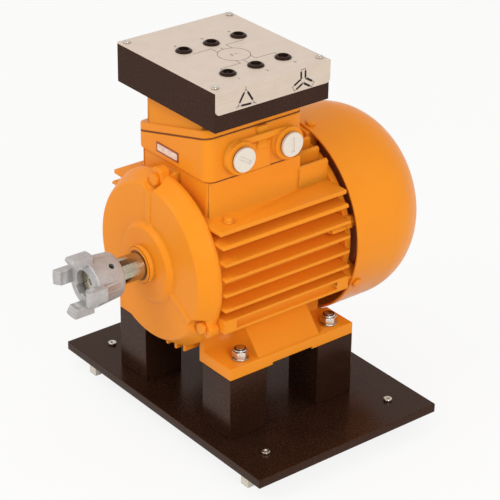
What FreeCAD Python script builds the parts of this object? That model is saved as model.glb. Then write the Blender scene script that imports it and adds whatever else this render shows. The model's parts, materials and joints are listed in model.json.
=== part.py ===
import FreeCAD, Part
import math
import os
import Sketcher
from types import SimpleNamespace

# A classroom demonstration motor: a foot mounted three phase motor of frame size 90 that stands
# on four square columns and a base plate, with a socket box on top for the winding ends and a
# jaw coupling hub on the shaft.
# Millimetres, +Z up. The shaft lies along Y with its drive end towards -Y. Two frames are used:
# in both, y is counted from the front foot bolts; in the stand frame z is counted from the floor
# and in the motor frame z is counted from the shaft's axis.

DRIVING_SIZES = {
    # base plate and runners
    "plate_length": 292.0,
    "plate_width": 202.0,
    "plate_thickness": 8.5,
    "plate_front": 37.4,
    "runner_height": 16.0,
    "runner_width": 10.0,
    "runner_inset": 30.0,
    "runner_end_inset": 7.4,
    "runner_screw_inset": 30.5,
    "runner_screw_bore_radius": 2.2,
    "runner_screw_radius": 2.0,
    "runner_screw_head_radius": 3.9,
    "runner_screw_head_height": 2.6,
    "runner_screw_reach": 9.0,
    "recess_radius": 1.5,
    "recess_depth": 1.4,
    # feet, columns and foot bolts
    "shaft_height": 90.0,
    "foot_spread": 140.0,
    "foot_pitch": 100.0,
    "foot_hole_radius": 5.0,
    "foot_outer": 82.5,
    "foot_inner": 38.0,
    "foot_front": 20.0,
    "foot_rear": 18.0,
    "foot_thickness": 11.0,
    "foot_wall": 6.0,
    "foot_relief": 2.2,
    "foot_relief_inset": 47.0,
    "column_side": 40.0,
    "column_height": 60.5,
    "bolt_radius": 4.0,
    "bolt_clearance": 0.3,
    "bolt_head_height": 5.3,
    "nut_flats": 13.0,
    "nut_height": 6.2,
    "nut_collar_height": 1.8,
    "nut_collar_radius": 5.6,
    "bolt_end": 0.8,
    "washer_radius": 8.0,
    "washer_thickness": 1.6,
    # cast housing
    "housing_front": 27.0,
    "housing_length": 137.0,
    "barrel_radius": 70.0,
    "core_radius": 65.0,
    "fin_thickness": 3.2,
    "fin_reach_gap": 6.5,
    "fin_circle_gap": 1.5,
    "side_fin_top": 39.2,
    "side_fin_pitch": 14.4,
    "upright_fin_pitch": 12.5,
    "upright_fin_gap": 3.0,
    "box_seat_margin": 1.0,
    "flange_reach": 77.0,
    "flange_top": 53.0,
    "flange_thickness": 4.0,
    "pad_far": 45.0,
    "pad_near": 49.5,
    "pad_front": 18.0,
    "pad_length": 98.0,
    "pad_top": 84.0,
    "pad_seam_inset": 1.2,
    "pad_seam_width": 1.1,
    "pad_seam_depth": 1.5,
    "rail_top": 28.5,
    "rail_height": 12.5,
    "rail_reach": 83.5,
    "rail_slot_height": 7.0,
    "rail_slot_depth": 6.0,
    "rail_slot_inset": 13.0,
    "web_length": 69.0,
    "web_front": 12.5,
    "web_head": 52.0,
    "web_crown": 46.0,
    "web_foot_inset": 2.5,
    "lug_width": 17.0,
    "lug_reach": 86.5,
    "lug_root": 66.0,
    "lug_length": 9.0,
    "lug_crown": 2.3,
    "lug_crown_radius": 10.0,
    "rear_lug_reach": 81.5,
    "rear_lug_width": 11.0,
    "rear_lug_length": 17.0,
    "cable_hole_radius": 14.0,
    # end shields and their screws
    "shield_rim_radius": 80.2,
    "shield_rim_width": 4.0,
    "shield_face_radius": 72.1,
    "shield_depth": 18.5,
    "shield_wall": 5.0,
    "shield_edge": 2.0,
    "shield_boss_radius": 37.5,
    "shield_boss_top_radius": 33.0,
    "shield_boss_height": 5.5,
    "shield_nose_radius": 17.0,
    "shield_nose_height": 6.0,
    "spigot_length": 6.0,
    "spigot_wall": 5.0,
    "shield_rib_width": 7.0,
    "shield_rib_height": 1.2,
    "shield_screw_circle": 76.0,
    "shield_screw_radius": 3.0,
    "shield_screw_flats": 10.0,
    "shield_screw_head": 4.2,
    "shield_screw_length": 18.0,
    "shield_pocket_radius": 8.6,
    "shield_ear_thickness": 9.5,
    "rear_shield_radius": 78.0,
    "rear_shield_thickness": 6.0,
    "rear_shield_boss_radius": 34.0,
    "rear_shield_bore": 14.0,
    # shaft, key and bearings
    "shoulder": 56.0,
    "shaft_out": 50.0,
    "shaft_radius": 12.0,
    "bearing_bore_radius": 12.5,
    "bearing_radius": 26.0,
    "bearing_width": 15.0,
    "bearing_setback": 10.0,
    "rotor_seat_radius": 15.5,
    "rear_journal_end": 118.0,
    "fan_seat_radius": 10.0,
    "shaft_rear_end": 156.0,
    "shaft_chamfer": 1.0,
    "centre_hole_radius": 3.0,
    "centre_hole_depth": 6.0,
    "key_width": 8.0,
    "key_height": 7.0,
    "key_seat": 4.0,
    "key_length": 40.0,
    "key_end_gap": 3.0,
    "key_top_gap": 0.2,
    "ball_radius": 3.97,
    "race_gap": 0.25,
    "inner_race_radius": 16.2,
    "outer_race_radius": 22.3,
    "cage_inner_radius": 18.1,
    "cage_outer_radius": 20.4,
    "cage_width": 10.4,
    "seal_width": 4.0,
    "seal_radius": 15.0,
    "running_gap": 0.05,
    "shaft_free_gap": 1.0,
    "wave_washer_width": 4.6,
    "wave_washer_thickness": 1.2,
    "bearing_wall": 5.5,
    # stator and rotor
    "core_front": 5.0,
    "core_length": 80.0,
    "rear_bearing_gap": 15.0,
    "stator_bore_radius": 39.5,
    "air_gap": 0.3,
    "slot_root": 54.0,
    "slot_width": 6.4,
    "slot_mouth_width": 2.6,
    "slot_lip": 2.0,
    "slot_liner": 0.3,
    "winding_front_reach": 20.0,
    "winding_rear_reach": 16.0,
    "winding_inner_radius": 42.0,
    "winding_outer_radius": 57.0,
    "winding_shoulder": 4.0,
    "rotor_bar_radius": 2.6,
    "rotor_bar_circle": 35.0,
    "end_ring_width": 9.0,
    "end_ring_inner": 24.0,
    "end_ring_outer": 38.5,
    # coupling hub
    "hub_radius": 20.0,
    "hub_front_radius": 22.5,
    "hub_length": 29.0,
    "hub_overhang": 6.0,
    "jaw_length": 15.0,
    "jaw_width": 12.6,
    "jaw_root": 5.5,
    "jaw_outer_radius": 28.0,
    "jaw_crest_radius": 25.5,
    "jaw_inner_radius": 19.5,
    "jaw_outer_slope": 1.5,
    "jaw_inner_slope": 4.0,
    "set_screw_radius": 2.5,
    "set_screw_back": 9.6,
    "set_screw_length": 4.5,
    # fan and fan cover
    "fan_front": 126.0,
    "fan_disc_thickness": 3.0,
    "fan_disc_radius": 75.0,
    "fan_hub_radius": 17.0,
    "fan_hub_length": 24.0,
    "fan_radius": 76.0,
    "fan_blade_width": 21.0,
    "fan_blade_thickness": 2.6,
    "clip_radius": 13.5,
    "clip_thickness": 1.2,
    "clip_groove_depth": 0.8,
    "cover_front": 113.3,
    "cover_radius": 91.0,
    "cover_straight": 43.0,
    "cover_rounding": 58.0,
    "cover_wall": 2.0,
    "cover_foot_gap": 1.0,
    "grille_pitch": 10.0,
    "grille_slot": 5.0,
    "grille_first": 9.0,
    "grille_bar": 6.0,
    "grille_depth": 40.0,
    "cover_screw_back": 6.8,
    "cover_screw_radius": 2.5,
    "cover_screw_head_radius": 4.6,
    "cover_screw_head_height": 3.0,
    "cover_screw_reach": 10.0,
    "cover_lug_width": 15.0,
    "cover_lug_length": 11.0,
    "cover_lug_root": 70.0,
    "cover_lug_gap": 0.4,
    # terminal box
    "box_gasket": 1.0,
    "box_far": 51.0,
    "box_near": 50.0,
    "box_front": 20.5,
    "box_length": 103.0,
    "box_corner": 9.0,
    "box_wall": 3.5,
    "seam_near": 125.0,
    "seam_far": 98.0,
    "seam_gasket": 1.0,
    "undercut_depth": 6.0,
    "undercut_height": 7.0,
    "lid_flange_height": 7.5,
    "lid_far_inset": 8.0,
    "lid_inset": 2.0,
    "lid_top": 139.5,
    "lid_screw_radius": 2.0,
    "lid_screw_inset": 12.0,
    "lid_post_radius": 5.0,
    "plug_height": 103.5,
    "plug_front": 10.0,
    "plug_rear_inset": 21.5,
    "plug_boss_radius": 15.0,
    "plug_boss_length": 8.0,
    "plug_radius": 11.0,
    "plug_thickness": 3.0,
    "plug_thread_radius": 8.5,
    "plug_thread_length": 11.0,
    "plug_slot_length": 13.0,
    "plug_slot_width": 2.8,
    "plug_slot_depth": 0.8,
    "plug_seal_width": 1.8,
    "plug_seal_thickness": 1.2,
    "rib_bar_height": 6.0,
    "rib_bar_depth": 4.5,
    "rib_post_width": 11.5,
    "rib_post_depth": 3.0,
    "rib_web_depth": 1.6,
    "rib_web_width": 10.0,
    "label_length": 31.0,
    "label_height": 9.0,
    "label_thickness": 0.6,
    "label_rise": 94.5,
    "label_near": 10.0,
    "board_length": 58.0,
    "board_width": 34.0,
    "board_thickness": 4.0,
    "board_rise": 5.0,
    "board_post_radius": 4.0,
    "stud_radius": 2.5,
    "stud_pitch": 17.0,
    "stud_row_gap": 18.0,
    "stud_length": 14.0,
    "stud_nut_flats": 8.0,
    "stud_nut_height": 3.6,
    "flange_screw_across": 64.0,
    "flange_screw_front": 9.0,
    "flange_screw_radius": 2.5,
    "flange_screw_collar_radius": 5.2,
    "flange_screw_collar_height": 1.1,
    "flange_screw_flats": 7.0,
    "flange_screw_head": 3.2,
    # socket box, panel and sockets
    "case_length": 136.8,
    "case_width": 120.0,
    "case_centre": 33.1,
    "case_height": 34.6,
    "case_wall": 3.0,
    "case_post_radius": 4.5,
    "case_screw_across": 35.0,
    "case_screw_along": 34.0,
    "case_screw_radius": 2.0,
    "case_screw_head_radius": 3.6,
    "case_screw_head_height": 2.4,
    "case_screw_length": 9.0,
    "case_cable_hole": 15.0,
    "panel_thickness": 1.5,
    "panel_flap": 20.3,
    "panel_flap_corner": 4.0,
    "panel_screw_inset_across": 7.0,
    "panel_screw_inset_along": 5.2,
    "panel_screw_radius": 1.5,
    "panel_screw_head_radius": 3.1,
    "panel_screw_head_height": 1.8,
    "panel_screw_length": 10.0,
    "socket_near_inset": 25.4,
    "socket_rows": 60.5,
    "socket_first": 5.7,
    "socket_pitch": 29.0,
    "socket_collar_radius": 7.2,
    "socket_collar_height": 2.2,
    "socket_collar_rim": 0.9,
    "socket_collar_top": 5.5,
    "socket_body_radius": 6.1,
    "socket_body_depth": 17.8,
    "socket_shroud_radius": 4.3,
    "socket_shroud_depth": 12.0,
    "sleeve_radius": 3.0,
    "sleeve_bore_radius": 2.0,
    "sleeve_top_depth": 2.5,
    "sleeve_length": 24.0,
    "socket_nut_flats": 16.0,
    "socket_nut_height": 3.0,
    # how far a cutting solid runs past what it cuts
    "overrun": 2.0,
}

DRIVE_SHIELD_ANGLES = (90, -30, 210)
REAR_SHIELD_ANGLES = (15, 165, 270)
COVER_SCREW_ANGLES = (81, -25, 205)
JAW_ANGLES = (0, 90, 180, 270)
SET_SCREW_ANGLE = 52
KEY_ANGLE = 225
PLUG_SLOT_ANGLES = (-34, 92)
SIDE_FINS = 5
UPRIGHT_FINS = 4
BALLS = 9
STATOR_SLOTS = 24
ROTOR_BARS = 30
FAN_BLADES = 8
GRILLE_RINGS = 5
GRILLE_BARS = 3
SOCKETS_IN_ROW = 3
RAIL_ROOT_SHARE = 0.8
LUG_TIP_SHARE = 0.75

doc = FreeCAD.newDocument("DemonstrationMotor")
sheet = doc.addObject("Spreadsheet::Sheet", "Sizes")


class Size:
    """A length that knows its value and the sheet expression that gives it."""

    def __init__(self, value, text):
        self.value = float(value)
        self.text = text

    def __add__(self, other):
        other = as_size(other)
        return Size(self.value + other.value, f"({self.text} + {other.text})")

    def __radd__(self, other):
        return as_size(other) + self

    def __sub__(self, other):
        other = as_size(other)
        return Size(self.value - other.value, f"({self.text} - {other.text})")

    def __rsub__(self, other):
        return as_size(other) - self

    def __mul__(self, factor):
        return Size(self.value * factor, f"({self.text} * {factor:.9g})")

    def __rmul__(self, factor):
        return self * factor

    def __truediv__(self, factor):
        return Size(self.value / factor, f"({self.text} / {factor:.9g})")

    def __neg__(self):
        return Size(-self.value, f"(-{self.text})")


def as_size(value):
    """Zero and other plain numbers as a Size, so that sums can mix them."""
    if isinstance(value, Size):
        return value
    return Size(value, f"{value:.9g}")


def read_sizes():
    """Write every driving size into its own cell and return them by name."""
    sizes = {}
    for row, (name, value) in enumerate(DRIVING_SIZES.items(), start=1):
        cell = f"A{row}"
        sheet.set(cell, str(value))
        sheet.setAlias(cell, name)
        sizes[name] = Size(value, f"Sizes.{name}")
    doc.recompute()
    return SimpleNamespace(**sizes)


s = read_sizes()


# Tools shared by the sub-parts

def bind(obj, **properties):
    """Tie properties of an object to sizes; two underscores stand for a dot."""
    for name, value in properties.items():
        obj.setExpression(name.replace("__", "."), as_size(value).text)


def at(obj, x=0, y=0, z=0):
    """Tie an object's position to sizes."""
    bind(obj, Placement__Base__x=x, Placement__Base__y=y, Placement__Base__z=z)
    return obj


def box(name, x0, x1, y0, y1, z0, z1):
    """A block between three pairs of limits."""
    block = doc.addObject("Part::Box", name)
    bind(block, Length=x1 - x0, Width=y1 - y0, Height=z1 - z0)
    return at(block, x0, y0, z0)


AXIS_TURNS = {
    "x": FreeCAD.Rotation(FreeCAD.Vector(0, 1, 0), 90),
    "y": FreeCAD.Rotation(FreeCAD.Vector(1, 0, 0), -90),
    "z": FreeCAD.Rotation(),
}


def rod(name, axis, radius, start, end, x=0, y=0, z=0):
    """A round bar along an axis from start to end; the two other places give its centre line."""
    bar = doc.addObject("Part::Cylinder", name)
    bind(bar, Radius=radius, Height=end - start)
    bar.Placement = FreeCAD.Placement(FreeCAD.Vector(), AXIS_TURNS[axis])
    place = {"x": x, "y": y, "z": z}
    place[axis] = start
    return at(bar, **place)


def cone(name, low_radius, high_radius, start, end, x, y):
    """An upright blunt cone between two heights."""
    taper = doc.addObject("Part::Cone", name)
    bind(taper, Radius1=low_radius, Radius2=high_radius, Height=end - start)
    return at(taper, x, y, start)


def hex_bar(name, axis, flats, start, end, x=0, y=0, z=0):
    """A hexagonal bar along an axis, sized across its flats."""
    bar = doc.addObject("Part::Prism", name)
    bar.Polygon = 6
    bind(bar, Circumradius=flats / math.sqrt(3), Height=end - start)
    bar.Placement = FreeCAD.Placement(FreeCAD.Vector(), AXIS_TURNS[axis])
    place = {"x": x, "y": y, "z": z}
    place[axis] = start
    return at(bar, **place)


def fuse(name, pieces):
    """Several solids joined to one."""
    joined = doc.addObject("Part::MultiFuse", name)
    joined.Shapes = pieces
    joined.Refine = True
    return joined


def cut(name, base, tool):
    """A solid less a cutting solid."""
    rest = doc.addObject("Part::Cut", name)
    rest.Base = base
    rest.Tool = tool
    return rest


def common(name, base, tool):
    """What two solids share."""
    shared = doc.addObject("Part::MultiCommon", name)
    shared.Shapes = [base, tool]
    return shared


def group(name, pieces):
    """Separate solids kept together."""
    kept = doc.addObject("Part::Compound", name)
    kept.Links = pieces
    return kept


def turned_copy(name, piece, angle):
    """A copy of a piece, turned about the shaft so that +X goes to the angle above +X."""
    copy = group(name, [piece])
    copy.Placement = FreeCAD.Placement(FreeCAD.Vector(), FreeCAD.Rotation(FreeCAD.Vector(0, 1, 0), -angle))
    return copy


def round_the_shaft(name, piece, angles):
    """Copies of a piece at several angles about the shaft."""
    return [turned_copy(f"{name}{number}", piece, angle) for number, angle in enumerate(angles)]


def evenly(count):
    """The angles of a full even pattern."""
    return [360 * number / count for number in range(count)]


def plane_of(body, role):
    """One of a body's own origin planes."""
    return [feature for feature in body.Origin.OriginFeatures if feature.Role == role][0]


def outline(body, name, role, corners, offset=0):
    """A closed outline on an origin plane. Each corner is (across, up), or (across, up, radius)
    where the side that ends there is an arc; it bulges to the left of its way, or to the right of
    it where the radius is negative."""
    sketch = body.newObject("Sketcher::SketchObject", name)
    sketch.AttachmentSupport = [(plane_of(body, role), "")]
    sketch.MapMode = "FlatFace"
    bind(sketch, AttachmentOffset__Base__z=offset)
    count = len(corners)
    points = [FreeCAD.Vector(as_size(c[0]).value, as_size(c[1]).value, 0) for c in corners]
    ends = []
    for index in range(count):
        here = points[index - 1]
        there = points[index]
        if len(corners[index]) == 3:
            sketch.addGeometry(bulging_arc(here, there, corners[index][2].value), False)
            ends.append((2, 1) if corners[index][2].value > 0 else (1, 2))
        else:
            sketch.addGeometry(Part.LineSegment(here, there), False)
            ends.append((1, 2))
    for index in range(count):
        following = (index + 1) % count
        last = ends[index][1]
        sketch.addConstraint(Sketcher.Constraint("Coincident", index, last, following, ends[following][0]))
        for kind, value in (("DistanceX", corners[index][0]), ("DistanceY", corners[index][1])):
            number = sketch.addConstraint(Sketcher.Constraint(kind, -1, 1, index, last, as_size(value).value))
            sketch.setExpression(f"Constraints[{number}]", as_size(value).text)
        if len(corners[index]) == 3:
            radius = corners[index][2]
            if radius.value < 0:
                radius = -radius
            number = sketch.addConstraint(Sketcher.Constraint("Radius", index, radius.value))
            sketch.setExpression(f"Constraints[{number}]", radius.text)
    return sketch


def bulging_arc(here, there, radius):
    """The shorter arc between two points, bulging left of the way between them or, for a negative
    radius, right of it. Arcs are kept counter-clockwise."""
    way = there - here
    left = FreeCAD.Vector(-way.y, way.x, 0).normalize()
    size = abs(radius)
    depth = math.sqrt(max(size * size - way.Length * way.Length / 4, 0))
    centre = (here + there) * 0.5 - left * math.copysign(depth, radius)
    first, last = (there, here) if radius > 0 else (here, there)
    start_angle = math.atan2(first.y - centre.y, first.x - centre.x)
    end_angle = math.atan2(last.y - centre.y, last.x - centre.x)
    circle = Part.Circle(centre, FreeCAD.Vector(0, 0, 1), size)
    return Part.ArcOfCircle(circle, start_angle, end_angle)


def turned(name, corners):
    """A ring or shaft turned about the Y axis from its (along, radius) outline."""
    body = doc.addObject("PartDesign::Body", name)
    sketch = outline(body, f"{name}_outline", "YZ_Plane", corners)
    revolution = body.newObject("PartDesign::Revolution", f"{name}_turning")
    revolution.Profile = sketch
    revolution.ReferenceAxis = (sketch, ["H_Axis"])
    revolution.Angle = 360
    return body


def prism(name, role, corners, start, end):
    """A straight prism from a flat outline, between two places along the plane's own axis."""
    body = doc.addObject("PartDesign::Body", name)
    flipped = role == "XZ_Plane"
    sketch = outline(body, f"{name}_outline", role, corners, -start if flipped else start)
    pad = body.newObject("PartDesign::Pad", f"{name}_pad")
    pad.Profile = sketch
    pad.Reversed = flipped
    bind(pad, Length=end - start)
    return body


def rounded_corners(x0, x1, y0, y1, radius):
    """A rectangle with rounded corners, as an outline that runs clockwise."""
    return [
        (x0, y1 - radius),
        (x0 + radius, y1, radius),
        (x1 - radius, y1),
        (x1, y1 - radius, radius),
        (x1, y0 + radius),
        (x1 - radius, y0, radius),
        (x0 + radius, y0),
        (x0, y0 + radius, radius),
    ]


NODES = []
STAND = "stand"
MOTOR = "motor"


def node(label, obj, frame):
    """Keep a finished piece under its name, placed in the part's own frame."""
    obj.Label = label
    at(obj, 0, half_way_back, shaft_axis if frame == MOTOR else 0)
    NODES.append(obj)
    return obj


def solid_of(obj):
    """A finished body or boolean wrapped so that it can carry the node's placement."""
    return group(f"{obj.Name}_piece", [obj])


# Places that several sub-parts share

hub_front = -(s.shoulder + s.shaft_out + s.hub_overhang)
jaw_front = hub_front - s.jaw_length
cover_back = s.cover_front + s.cover_straight + s.cover_rounding
half_way_back = -(jaw_front + cover_back) / 2
plate_top = s.runner_height + s.plate_thickness
foot_bottom = plate_top + s.column_height
shaft_axis = foot_bottom + s.shaft_height
housing_rear = s.housing_length - s.housing_front
front_bearing = -(s.shoulder - s.bearing_setback)
rear_bearing = s.core_front + s.core_length + s.rear_bearing_gap
rotor_front_shoulder = front_bearing + s.bearing_width
foot_places = [(s.foot_spread * side / 2, along)
               for side in (-1, 1) for along in (as_size(0), s.foot_pitch)]
foot_length = s.foot_front + s.foot_pitch + s.foot_rear
foot_top = foot_bottom + s.foot_thickness
rear_shield_back = housing_rear + s.rear_shield_thickness
panel_top = s.lid_top + s.case_height + s.panel_thickness
case_top = s.lid_top + s.case_height
socket_columns = [s.socket_first + s.socket_pitch * number for number in range(SOCKETS_IN_ROW)]
socket_near = s.case_length / 2 - s.socket_near_inset
socket_places = [(row, along)
                 for row in (socket_near - s.socket_rows, socket_near) for along in socket_columns]
plug_places = [s.plug_front, s.box_length - s.box_front - s.plug_rear_inset]
runner_spread = s.plate_length - s.runner_inset * 2
fin_reach = s.cover_radius - s.fin_reach_gap
fin_circle = s.cover_radius - s.fin_circle_gap
upright_fin_circle = s.cover_radius - s.upright_fin_gap
box_centre = s.box_length / 2 - s.box_front


# Stand: base plate, runners and columns

def make_base_plate():
    plate = box("plate_blank", -s.plate_length / 2, s.plate_length / 2, -s.plate_front,
                s.plate_width - s.plate_front, s.runner_height, plate_top)
    holes = []
    for number, (x, y) in enumerate(foot_places):
        holes.append(rod(f"plate_bolt_hole{number}", "z", s.bolt_radius + s.bolt_clearance,
                         s.runner_height - s.overrun, plate_top + s.overrun, x, y))
    for number, (x, y) in enumerate(runner_screw_places()):
        holes.append(rod(f"plate_screw_hole{number}", "z", s.runner_screw_bore_radius,
                         s.runner_height - s.overrun, plate_top + s.overrun, x, y))
    node("base_plate", cut("base_plate_cut", plate, group("plate_holes", holes)), STAND)


def runner_screw_places():
    """Where the four screws go through the plate into the runners."""
    front = s.runner_screw_inset - s.plate_front
    rear = s.plate_width - s.plate_front - s.runner_screw_inset
    return [(runner_spread * side / 2, along) for side in (-1, 1) for along in (front, rear)]


def make_runners():
    for side, word in ((-1, "left"), (1, "right")):
        middle = runner_spread * side / 2
        bar = box(f"runner_{word}_bar", middle - s.runner_width / 2, middle + s.runner_width / 2,
                  s.runner_end_inset - s.plate_front,
                  s.plate_width - s.plate_front - s.runner_end_inset, 0, s.runner_height)
        holes = [rod(f"runner_{word}_hole{number}", "z", s.runner_screw_radius,
                     s.runner_height - s.runner_screw_reach, s.runner_height + s.overrun, x, y)
                 for number, (x, y) in enumerate(runner_screw_places()) if x.value * side > 0]
        node(f"runner_{word}", cut(f"runner_{word}_cut", bar, group(f"runner_{word}_holes", holes)), STAND)


def pan_screw(name, x, y, seat, shank, reach, head, height):
    """An upright pan head screw with a round driving recess."""
    parts = [rod(f"{name}_shank", "z", shank, seat - reach, seat + height / 2, x, y),
             rod(f"{name}_head", "z", head, seat, seat + height, x, y)]
    recess = rod(f"{name}_recess", "z", s.recess_radius, seat + height - s.recess_depth,
                 seat + height + s.overrun, x, y)
    return cut(name, fuse(f"{name}_body", parts), recess)


def make_runner_screws():
    reach = s.plate_thickness + s.runner_screw_reach
    screws = [pan_screw(f"runner_screw{number}", x, y, plate_top, s.runner_screw_radius, reach,
                        s.runner_screw_head_radius, s.runner_screw_head_height)
              for number, (x, y) in enumerate(runner_screw_places())]
    node("runner_screws", group("runner_screw_set", screws), STAND)


def make_columns():
    for side, side_word in ((-1, "left"), (1, "right")):
        outer = s.foot_outer * side
        inner = (s.foot_outer - s.column_side) * side
        low, high = (inner, outer) if side > 0 else (outer, inner)
        for end, hole, front in (("front", as_size(0), -s.foot_front),
                                 ("rear", s.foot_pitch, s.foot_pitch + s.foot_rear - s.column_side)):
            name = f"column_{end}_{side_word}"
            post = box(f"{name}_post", low, high, front, front + s.column_side, plate_top, foot_bottom)
            bore = rod(f"{name}_bore", "z", s.bolt_radius + s.bolt_clearance, plate_top - s.overrun,
                       foot_bottom + s.overrun, s.foot_spread * side / 2, hole)
            node(name, cut(f"{name}_cut", post, bore), STAND)


def make_foot_bolts():
    """Hexagon bolts from below, with washers under the plate and on the feet, and locking nuts."""
    head_seat = s.runner_height - s.washer_thickness
    nut_seat = foot_top + s.washer_thickness
    nut_end = nut_seat + s.nut_height + s.nut_collar_height
    bolts, plate_washers, foot_washers, nuts = [], [], [], []
    for number, (x, y) in enumerate(foot_places):
        shank = rod(f"foot_bolt_shank{number}", "z", s.bolt_radius, head_seat, nut_end + s.bolt_end, x, y)
        head = hex_bar(f"foot_bolt_head{number}", "z", s.nut_flats, head_seat - s.bolt_head_height,
                       head_seat, x, y)
        bolts.append(fuse(f"foot_bolt{number}", [shank, head]))
        plate_washers.append(washer(f"plate_washer{number}", head_seat, x, y))
        foot_washers.append(washer(f"foot_washer{number}", foot_top, x, y))
        body = hex_bar(f"nut_body{number}", "z", s.nut_flats, nut_seat, nut_seat + s.nut_height, x, y)
        collar = rod(f"nut_collar{number}", "z", s.nut_collar_radius, nut_seat, nut_end, x, y)
        thread = rod(f"nut_thread{number}", "z", s.bolt_radius, nut_seat - s.overrun,
                     nut_end + s.overrun, x, y)
        nuts.append(cut(f"foot_nut{number}", fuse(f"nut_blank{number}", [body, collar]), thread))
    node("foot_bolts", group("foot_bolt_set", bolts), STAND)
    node("plate_washers", group("plate_washer_set", plate_washers), STAND)
    node("foot_washers", group("foot_washer_set", foot_washers), STAND)
    node("foot_nuts", group("foot_nut_set", nuts), STAND)


def washer(name, seat, x, y):
    """A flat washer for a foot bolt, lying on its seat."""
    disc = rod(f"{name}_disc", "z", s.washer_radius, seat, seat + s.washer_thickness, x, y)
    hole = rod(f"{name}_hole", "z", s.bolt_radius, seat - s.overrun,
               seat + s.washer_thickness + s.overrun, x, y)
    return cut(name, disc, hole)


# Cast housing with its fins, feet and terminal pad

def make_housing():
    front = -s.housing_front
    solids = [rod("barrel", "y", s.barrel_radius, front, housing_rear)]
    solids.append(common("side_fins", fuse("side_fin_plates", side_fin_plates(front)),
                         rod("side_fin_limit", "y", fin_circle, front, housing_rear)))
    solids.append(common("upright_fins", fuse("upright_fin_plates", upright_fin_plates(front)),
                         rod("upright_fin_limit", "y", upright_fin_circle, front, housing_rear)))
    solids.append(box("top_flange", -s.flange_reach, s.flange_reach, front, housing_rear,
                      s.flange_top - s.flange_thickness, s.flange_top))
    solids.append(box("terminal_pad", -s.pad_far, s.pad_near, -s.pad_front, s.pad_length - s.pad_front,
                      s.flange_top - s.flange_thickness, s.pad_top))
    solids += foot_castings()
    solids += round_the_shaft("front_lug", box("front_lug_block", s.lug_root, s.shield_rim_radius, front,
                                               s.lug_length - s.housing_front, -s.lug_width / 2,
                                               s.lug_width / 2), DRIVE_SHIELD_ANGLES)
    solids += round_the_shaft("rear_lug", box("rear_lug_block", s.lug_root, s.rear_lug_reach,
                                              housing_rear - s.rear_lug_length, housing_rear,
                                              -s.rear_lug_width / 2, s.rear_lug_width / 2),
                              REAR_SHIELD_ANGLES)
    tools = [rod("core_bore", "y", s.core_radius, front - s.overrun, housing_rear + s.overrun)]
    tools += shield_screw_holes("front", s.shield_screw_radius, front - s.overrun,
                                front - s.shield_ear_thickness + s.shield_screw_length + s.overrun,
                                DRIVE_SHIELD_ANGLES)
    tools += shield_screw_holes("rear", s.shield_screw_radius,
                                rear_shield_back - s.shield_screw_length - s.overrun,
                                housing_rear + s.overrun, REAR_SHIELD_ANGLES)
    tools.append(rod("cable_hole", "z", s.cable_hole_radius, 0, s.pad_top + s.overrun, 0, box_centre))
    tools += rail_slots()
    tools += pad_seams()
    tools += foot_cuts()
    tools += flange_screw_holes()
    tools.append(box("box_seat", -upright_fin_circle, upright_fin_circle,
                     -s.box_front - s.box_seat_margin, s.box_length - s.box_front + s.box_seat_margin,
                     s.pad_top, s.pad_top + upright_fin_circle))
    tools.append(rod("cover_room", "y", s.cover_radius + s.cover_foot_gap,
                     s.cover_front - s.cover_foot_gap, cover_back))
    node("stator_housing", cut("housing_cut", fuse("housing_casting", solids), group("housing_tools", tools)),
         MOTOR)


def side_fin_plates(front):
    """Level fins on both sides, from the top one down."""
    plates = []
    for number in range(SIDE_FINS):
        middle = s.side_fin_top - s.side_fin_pitch * number
        plates.append(box(f"side_fin{number}", -fin_reach, fin_reach, front, housing_rear,
                          middle - s.fin_thickness / 2, middle + s.fin_thickness / 2))
    return plates


def upright_fin_plates(front):
    """Upright fins behind the terminal pad and along the belly."""
    plates = []
    for number in range(-UPRIGHT_FINS, UPRIGHT_FINS + 1):
        middle = s.upright_fin_pitch * number
        plates.append(box(f"top_fin{number}", middle - s.fin_thickness / 2, middle + s.fin_thickness / 2,
                          s.pad_length - s.pad_front - s.overrun, housing_rear, s.foot_inner,
                          upright_fin_circle))
        if abs(middle.value) < s.foot_inner.value - s.fin_thickness.value:
            plates.append(box(f"belly_fin{number}", middle - s.fin_thickness / 2,
                              middle + s.fin_thickness / 2, front, housing_rear,
                              -upright_fin_circle, -s.foot_inner))
    return plates


def mirrored(name, piece):
    """A piece and its copy on the other side of the shaft."""
    other = doc.addObject("Part::Mirroring", f"{name}_mirrored")
    other.Source = piece
    other.Normal = FreeCAD.Vector(1, 0, 0)
    return [piece, other]


def foot_castings():
    """The feet, with their inner walls, the sloped web between the bolts and the rail above."""
    solids = []
    sole = -s.shaft_height
    solids += mirrored("foot", box("foot", s.foot_inner, s.foot_outer, -s.foot_front,
                                   foot_length - s.foot_front, sole, sole + s.foot_thickness))
    solids += mirrored("foot_inner_wall", box("foot_inner_wall", s.foot_inner, s.foot_inner + s.foot_wall,
                                              -s.foot_front, housing_rear, sole, -s.web_crown))
    web_outline = [(s.foot_inner, sole + s.foot_thickness / 2),
                   (s.foot_inner, -s.web_crown),
                   (s.web_head, -s.web_crown),
                   (s.foot_outer - s.web_foot_inset, sole + s.foot_thickness),
                   (s.foot_outer - s.web_foot_inset, sole + s.foot_thickness / 2)]
    solids += mirrored("foot_web", prism("foot_web", "XZ_Plane", web_outline, s.web_front,
                                         s.web_front + s.web_length))
    solids += mirrored("rail", box("rail", s.barrel_radius * RAIL_ROOT_SHARE, s.rail_reach,
                                   -s.housing_front, housing_rear, -s.rail_top - s.rail_height,
                                   -s.rail_top))
    return solids


def rail_slots():
    """The shallow slot along each rail's outer face."""
    middle = -s.rail_top - s.rail_height / 2
    slot = box("rail_slot", s.rail_reach - s.rail_slot_depth, s.rail_reach + s.overrun,
               s.rail_slot_inset - s.housing_front, housing_rear - s.rail_slot_inset,
               middle - s.rail_slot_height / 2, middle + s.rail_slot_height / 2)
    return mirrored("rail_slot", slot)


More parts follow.
